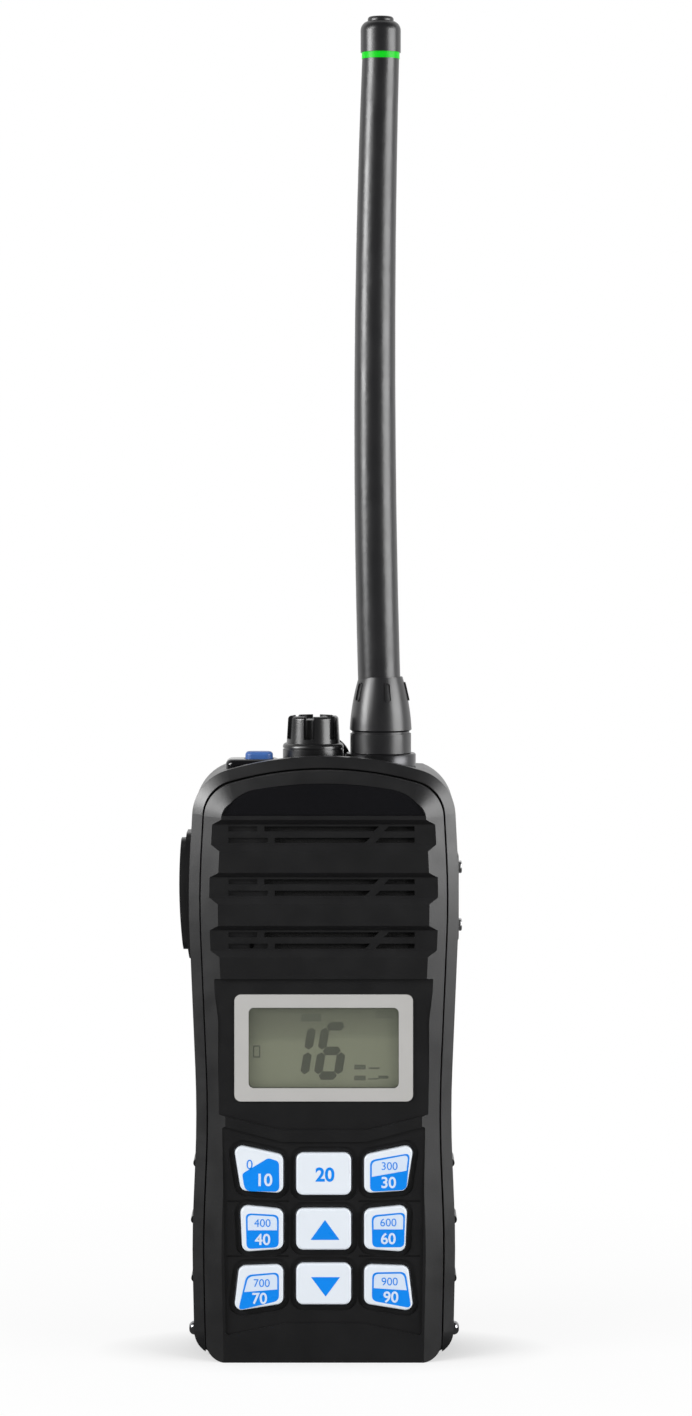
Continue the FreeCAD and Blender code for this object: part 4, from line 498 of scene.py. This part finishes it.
def panel_print(body, corners, split_left, split_right, number):
    """Blue film over the whole panel, a pale film on its upper half, and a number on either half. The
    pale film's lower corners lie on the panel's sides, at the share of their height where it splits."""
    film(body + "_panel", rounded_loop(corners, PANEL_CORNER), KEY_FACE, INK_BLUE, body)
    low_left, low_right, top_right, top_left = (np.array(corner) for corner in corners)
    left_share = (split_left - low_left[1]) / (top_left[1] - low_left[1])
    right_share = (split_right - low_right[1]) / (top_right[1] - low_right[1])
    split_l = low_left + (top_left - low_left) * left_share
    split_r = low_right + (top_right - low_right) * right_share
    pale = [split_l + (PANEL_LINE, 0.1), split_r + (-PANEL_LINE, 0.1),
            top_right + (-PANEL_LINE, -PANEL_LINE), top_left + (PANEL_LINE, -PANEL_LINE)]
    film(body + "_pale", rounded_loop(pale, [0.01, 0.01, 1.1, 1.1]), KEY_FACE, INK_PALE, body, layer=1)
    low = (low_left + low_right + split_l + split_r) / 4
    letters(body + "_number", number, low, NUMBER_HIGH, INK_PALE, body, layer=1, weight=0.02)
    high = np.mean(pale, axis=0)
    letters(body + "_small", number + "0", high, SMALL_HIGH, INK_BLUE, body, layer=2)


for key_body, (corners, split_left, split_right, number) in PANELS.items():
    panel_print(key_body, corners, split_left, split_right, number)
print("panels printed", len(PANELS))

# %% Print the corner key, the key beside it and the arrows
CORNER_PANEL = rounded_loop([(-18.0, 39.2), (-10.1, 39.1), (-10.2, 46.0), (-12.65, 46.8), (-18.6, 43.2)],
                            [1.6, 1.3, 0.8, 0.6, 0.6])
ARROW_UP = rounded_loop([(-3.0, 28.1), (3.65, 28.1), (0.3, 32.65)], 0.15)
ARROW_DOWN = rounded_loop([(-2.9, 19.6), (0.45, 15.15), (3.75, 19.6)], 0.15)

film("key_top_left_panel", CORNER_PANEL, KEY_FACE, INK_BLUE, "key_top_left")
letters("key_top_left_number", "10", (-13.3, 41.8), 2.9, INK_PALE, "key_top_left", layer=1, weight=0.02)
letters("key_top_left_small", "0", (-16.9, 45.3), 2.2, INK_BLUE, "key_top_left")
letters("key_top_centre_number", "20", (0.3, 43.0), 3.3, INK_BLUE, "key_top_centre", weight=0.03)
film("arrow_up", ARROW_UP, KEY_FACE, INK_BLUE, "key_up")
film("arrow_down", ARROW_DOWN, KEY_FACE, INK_BLUE, "key_down")
printed = [made.name for made in bpy.data.objects
           if made.name.startswith(("key_", "arrow_")) and made.name not in NODES]
print("films and numbers on the keys", len(printed))


# %% [markdown]
# ## The picture on the display
# Segments are six-sided bars that lean with the digit. A digit is a list of lit bars, each given by its
# middle, its length and whether it stands or lies. They float just in front of the panel, a little
# greener and lighter than the black they seem, because the liquid crystal lets some light back.

# %% Segments
SEGMENT_DARK = moulded("segment_dark", (0.036, 0.038, 0.027), 0.45, grain_mm=0.5, depth_mm=0.001,
                       cloud=0.05)
PANEL_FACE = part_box("display_window")[1][1] / MM - 0.03
LEAN = 0.16
DIGIT_FOOT = 65.3
DIGIT_HIGH = 11.3
DIGIT_WIDE = 4.55
BAR_THICK = 1.95
print("display panel faces", round(PANEL_FACE, 3), "mm")


def bar_loop(middle, long, stands):
    """Six-sided bar: a rectangle whose two ends come to a blunt point."""
    half, wide = long / 2, BAR_THICK / 2
    point = 0.7 * wide
    run = np.array([-half, -half + point, half - point, half, half - point, -half + point])
    side = np.array([0.0, -wide, -wide, 0.0, wide, wide])
    x, z = (side, run) if stands else (run, side)
    return np.stack([x + middle[0], z + middle[1]], axis=1)


def lean(loop):
    """Shear: x grows with height above the digit's foot."""
    return np.stack([loop[:, 0] + LEAN * (loop[:, 1] - DIGIT_FOOT), loop[:, 1]], axis=1)


def digit(name, left, lit):
    """Seven bars named by letters: a top, b and c right, d foot, e and f left, g middle."""
    foot, high, wide = DIGIT_FOOT, DIGIT_HIGH, DIGIT_WIDE
    right, top, mid = left + wide, foot + high, foot + high / 2
    up, low = mid + high / 4, mid - high / 4
    long, short = high / 2 - 0.62, wide - 0.42
    bars = {"a": ((left + wide / 2, top), short, False), "b": ((right, up), long, True),
            "c": ((right, low), long, True), "d": ((left + wide / 2, foot), short, False),
            "e": ((left, low), long, True), "f": ((left, up), long, True),
            "g": ((left + wide / 2, mid), short, False)}
    for letter in lit:
        middle, reach, stands = bars[letter]
        loop = lean(bar_loop(middle, reach, stands))
        film(name + "_" + letter, loop, PANEL_FACE, SEGMENT_DARK, "case")


digit("digit_one", -9.02, "bc")
digit("digit_six", -1.35, "acdefg")

# %% [markdown]
# ## The small signs
# Round the number stand a few small signs, paler than the segments. They are plain here: a cell with
# two bars and a dark field at the top, an empty box at the left, and two rows of level bars at the
# right. Each is made of upright rectangles given by left, right, foot and top.

# %% A cell, a field, a box and level bars
SIGN_GREY = moulded("sign_grey", (0.062, 0.067, 0.048), 0.45, grain_mm=0.5, depth_mm=0.001, cloud=0.05)


def sign(name, x0, x1, z0, z1):
    """Small upright rectangle on the panel."""
    film(name, np.array([(x0, z0), (x1, z0), (x1, z1), (x0, z1)]), PANEL_FACE, SIGN_GREY, "case")


CELL = [(11.9, 15.6, 78.5, 78.8), (11.9, 15.6, 79.8, 80.1),
        (11.9, 12.2, 78.8, 79.8), (15.3, 15.6, 78.8, 79.8),
        (12.5, 13.3, 79.0, 79.6), (13.6, 14.4, 79.0, 79.6)]
FIELD = [(-5.2, -0.6, 77.7, 79.5)]
BOX = [(-16.2, -15.9, 69.4, 72.2), (-14.8, -14.5, 69.4, 72.2),
       (-15.9, -14.8, 69.4, 69.7), (-15.9, -14.8, 71.9, 72.2)]
LEVELS = [(7.0, 9.6, 66.7, 67.8), (10.3, 12.8, 66.8, 67.2),
          (7.0, 9.6, 64.2, 65.3), (10.2, 12.5, 64.4, 64.7),
          (12.5, 14.8, 64.6, 65.3)]
for index, (x0, x1, z0, z1) in enumerate(CELL + FIELD + BOX + LEVELS):
    sign("sign_%02d" % index, x0, x1, z0, z1)


# %% [markdown]
# ## Grip marks on the antenna's sleeve
# Five small rims stand round the sleeve's neck, each round an upright slot, so that fingers can turn it.
# A rim is a ring of four rows (inner back, outer back, outer front, inner front) laid on the sleeve: its
# loop runs in angle and height, and its depth is added to the sleeve's own radius at that height. The
# radius comes from a parabola through three of the sleeve's sizes.

# %% Rims
AXIS = np.array([13.2, 7.5])
SLEEVE = np.polyfit([143.3, 151.3, 155.6], [7.23, 6.2, 5.1], 2)
RIMS = 5
FIRST_TURN = 15.3
RIM_CORNERS = [(-0.75, 150.0), (0.75, 150.0), (0.62, 154.4), (-0.62, 154.4)]


def rim(name, angle):
    """Rim at an angle from the front: radius = sleeve's radius at z + height of the row."""
    loop = rounded_loop(RIM_CORNERS, 0.6)
    middle = loop.mean(axis=0)
    inward = (middle - loop) / np.linalg.norm(middle - loop, axis=1)[:, None]
    steps = np.array([0.30, 0.0, 0.05, 0.25])[:, None, None]
    lift = np.array([-0.35, -0.35, 0.32, 0.32])[:, None]
    flat = loop + steps * inward
    radius = np.polyval(SLEEVE, flat[..., 1]) + lift
    turn = angle + flat[..., 0] / radius
    round_x, round_y = AXIS[0] + radius * np.sin(turn), AXIS[1] - radius * np.cos(turn)
    rows = np.stack([round_x, round_y, flat[..., 1]], axis=-1)
    return closed_surface(name, rows * MM, ANTENNA_BLACK, "antenna", ring=True)


for index in range(RIMS):
    rim("sleeve_rim_%d" % index, math.radians(FIRST_TURN + 360 // RIMS * index))
print("rims on the sleeve:", RIMS)


# %% [markdown]
# ## The floor
# A pale sheet carries the radio. To the camera it is mostly a glow, whose share grows with distance, so
# the sheet ends in the same white as the background. Near the foot the share is smaller, and there the
# plain sheet under the glow shows the radio's shadow and is also greyer by itself: an oval of painted
# shade round the foot. In the black plastic the sheet mirrors dim in front of the radio and white behind
# it, as the room does.

# %% White sheet
FRONT_DIM = 0.09
SHEET_WHITE = (0.93, 0.93, 0.93, 1.0)
FOOT_SHADE_STRETCH = (0.50, 1.0, 1.0)


def distance(tree, place):
    """Length of a place, from the middle of the radio's foot."""
    made = node(tree, "ShaderNodeVectorMath", operation="LENGTH")
    tree.links.new(place, made.inputs[0])
    return made.outputs["Value"]


def white_sheet():
    """Share of glow = (0.88 to 1.0 with distance) x (0.50 to 1.0 out of an oval round the foot) for the
    camera and glass, and 1 for mirrors; the rest is a diffuse sheet. The oval's low share greys the
    sheet round the foot as painted shade."""
    made = bpy.data.materials.new("white_sheet")
    made.use_nodes = True
    tree = made.node_tree
    tree.nodes.clear()
    out = node(tree, "ShaderNodeOutputMaterial")
    lit = node(tree, "ShaderNodeBsdfDiffuse", Color=SHEET_WHITE)
    glow = node(tree, "ShaderNodeEmission", Color=(1.0, 1.0, 1.0, 1.0), Strength=1.0)
    path = node(tree, "ShaderNodeLightPath")
    place = node(tree, "ShaderNodeTexCoord")
    spread = between(tree, distance(tree, place.outputs["Object"]), (0.03, 0.20), (0.88, 1.0))
    # Painted shade: a lower glow share in an oval round the foot greys the sheet there, besides the
    # radio's own shadow.
    oval = node(tree, "ShaderNodeVectorMath", operation="MULTIPLY")
    oval.inputs[1].default_value = FOOT_SHADE_STRETCH
    tree.links.new(place.outputs["Object"], oval.inputs[0])
    foot_shade = between(tree, distance(tree, oval.outputs[0]), (0.015, 0.027), (0.50, 1.0))
    spread = combine(tree, "MULTIPLY", spread, foot_shade)
    split = node(tree, "ShaderNodeSeparateXYZ")
    tree.links.new(place.outputs["Object"], split.inputs["Vector"])
    behind = between(tree, split.outputs["Y"], (0.05, 0.35), (FRONT_DIM, 1.0))
    straight = path.outputs["Is Camera Ray"]
    straight = combine(tree, "MAXIMUM", straight, path.outputs["Is Transmission Ray"])
    share = combine(tree, "MULTIPLY", straight, spread)
    share = combine(tree, "MAXIMUM", share, path.outputs["Is Glossy Ray"])
    tree.links.new(combine(tree, "MAXIMUM", straight, behind), glow.inputs["Strength"])
    blend = node(tree, "ShaderNodeMixShader")
    tree.links.new(share, blend.inputs["Fac"])
    tree.links.new(lit.outputs[0], blend.inputs[1])
    tree.links.new(glow.outputs[0], blend.inputs[2])
    tree.links.new(blend.outputs[0], out.inputs["Surface"])
    return made


def sweep_sheet():
    """Floor as a flat grid of two by two corners."""
    half = 3.0
    u, v = np.meshgrid([-half, half], [-half, half])
    points = np.stack([u.ravel(), v.ravel(), np.zeros(4)], axis=1)
    mesh = bpy.data.meshes.new("floor_sheet")
    mesh.from_pydata(points.tolist(), [], [(0, 1, 3, 2)])
    made = bpy.data.objects.new("floor_sheet", mesh)
    bpy.context.scene.collection.objects.link(made)
    made.data.materials.append(white_sheet())
    return made


sweep_sheet()
print("floor laid")


# %% [markdown]
# ## A room that is white behind and dark in front
# Black plastic shows what it mirrors. In the photograph the front is nearly black while both flanks
# shine, so the room behind the camera is dark and the backdrop behind the radio is white. The sky
# below says just that: the camera and clear pieces see white, mirrors see white towards +Y and a dim
# grey towards -Y, and the diffuse light from all round is a low, even level.

# %% Sky
SKY_LEVEL = 0.20

world = bpy.data.worlds.new("studio")
bpy.context.scene.world = world
world.use_nodes = True
sky = world.node_tree
sky.nodes.clear()
sky_out = node(sky, "ShaderNodeOutputWorld")
sky_light = node(sky, "ShaderNodeBackground", Color=(1.0, 1.0, 1.0, 1.0))
sky_path = node(sky, "ShaderNodeLightPath")
sky_way = node(sky, "ShaderNodeTexCoord")
sky_split = node(sky, "ShaderNodeSeparateXYZ")
sky.links.new(sky_way.outputs["Generated"], sky_split.inputs["Vector"])
mirrored = between(sky, sky_split.outputs["Y"], (0.0, 0.5), (FRONT_DIM, 1.0))
mirrored = combine(sky, "MULTIPLY", mirrored, sky_path.outputs["Is Glossy Ray"])
scattered = combine(sky, "MULTIPLY", sky_path.outputs["Is Diffuse Ray"], SKY_LEVEL)
level = combine(sky, "MAXIMUM", mirrored, scattered)
level = combine(sky, "MAXIMUM", level, sky_path.outputs["Is Camera Ray"])
level = combine(sky, "MAXIMUM", level, sky_path.outputs["Is Transmission Ray"])
sky.links.new(level, sky_light.inputs["Strength"])
sky.links.new(sky_light.outputs[0], sky_out.inputs["Surface"])
print("sky made")


# %% [markdown]
# ## The lamps
# The photograph's light comes from soft panels: a large one at the right greys the right flank and
# draws the bright line on the antenna, one at the left does the same for the antenna's left side and
# the knob, and one high at the left lights the left shoulder. Seen from the radio, each stands where a
# bevel or a round side mirrors it to the camera, and the front faces mirror none of them.

# %% Lamps
def panel_lamp(name, spot, aim, size, watts):
    """Soft panel: a rectangle that looks at a point. Its tilt is the angle between the way back from the
    point and Z, and its turn is the way back's direction in plan."""
    light = bpy.data.lights.new(name, "AREA")
    light.shape = "RECTANGLE"
    light.size, light.size_y = size
    light.energy = watts
    made = bpy.data.objects.new(name, light)
    made.location = spot
    back = np.array(spot) - np.array(aim)
    back = back / np.linalg.norm(back)
    made.rotation_euler = (math.acos(back[2]), 0.0, math.atan2(back[0], -back[1]))
    bpy.context.scene.collection.objects.link(made)
    return made


panel_lamp("right_panel", (0.62, -0.25, 0.28), (0.0, 0.0, 0.15), (0.52, 0.46), 5.0)
panel_lamp("left_panel", (-0.58, -0.24, 0.31), (0.0, 0.0, 0.20), (0.26, 0.26), 3.1)
panel_lamp("left_high_panel", (-0.50, -0.40, 0.50), (0.0, 0.0, 0.13), (0.30, 0.30), 1.5)
bpy.context.scene.view_settings.view_transform = "Standard"
print("lamps", len(bpy.data.lights))
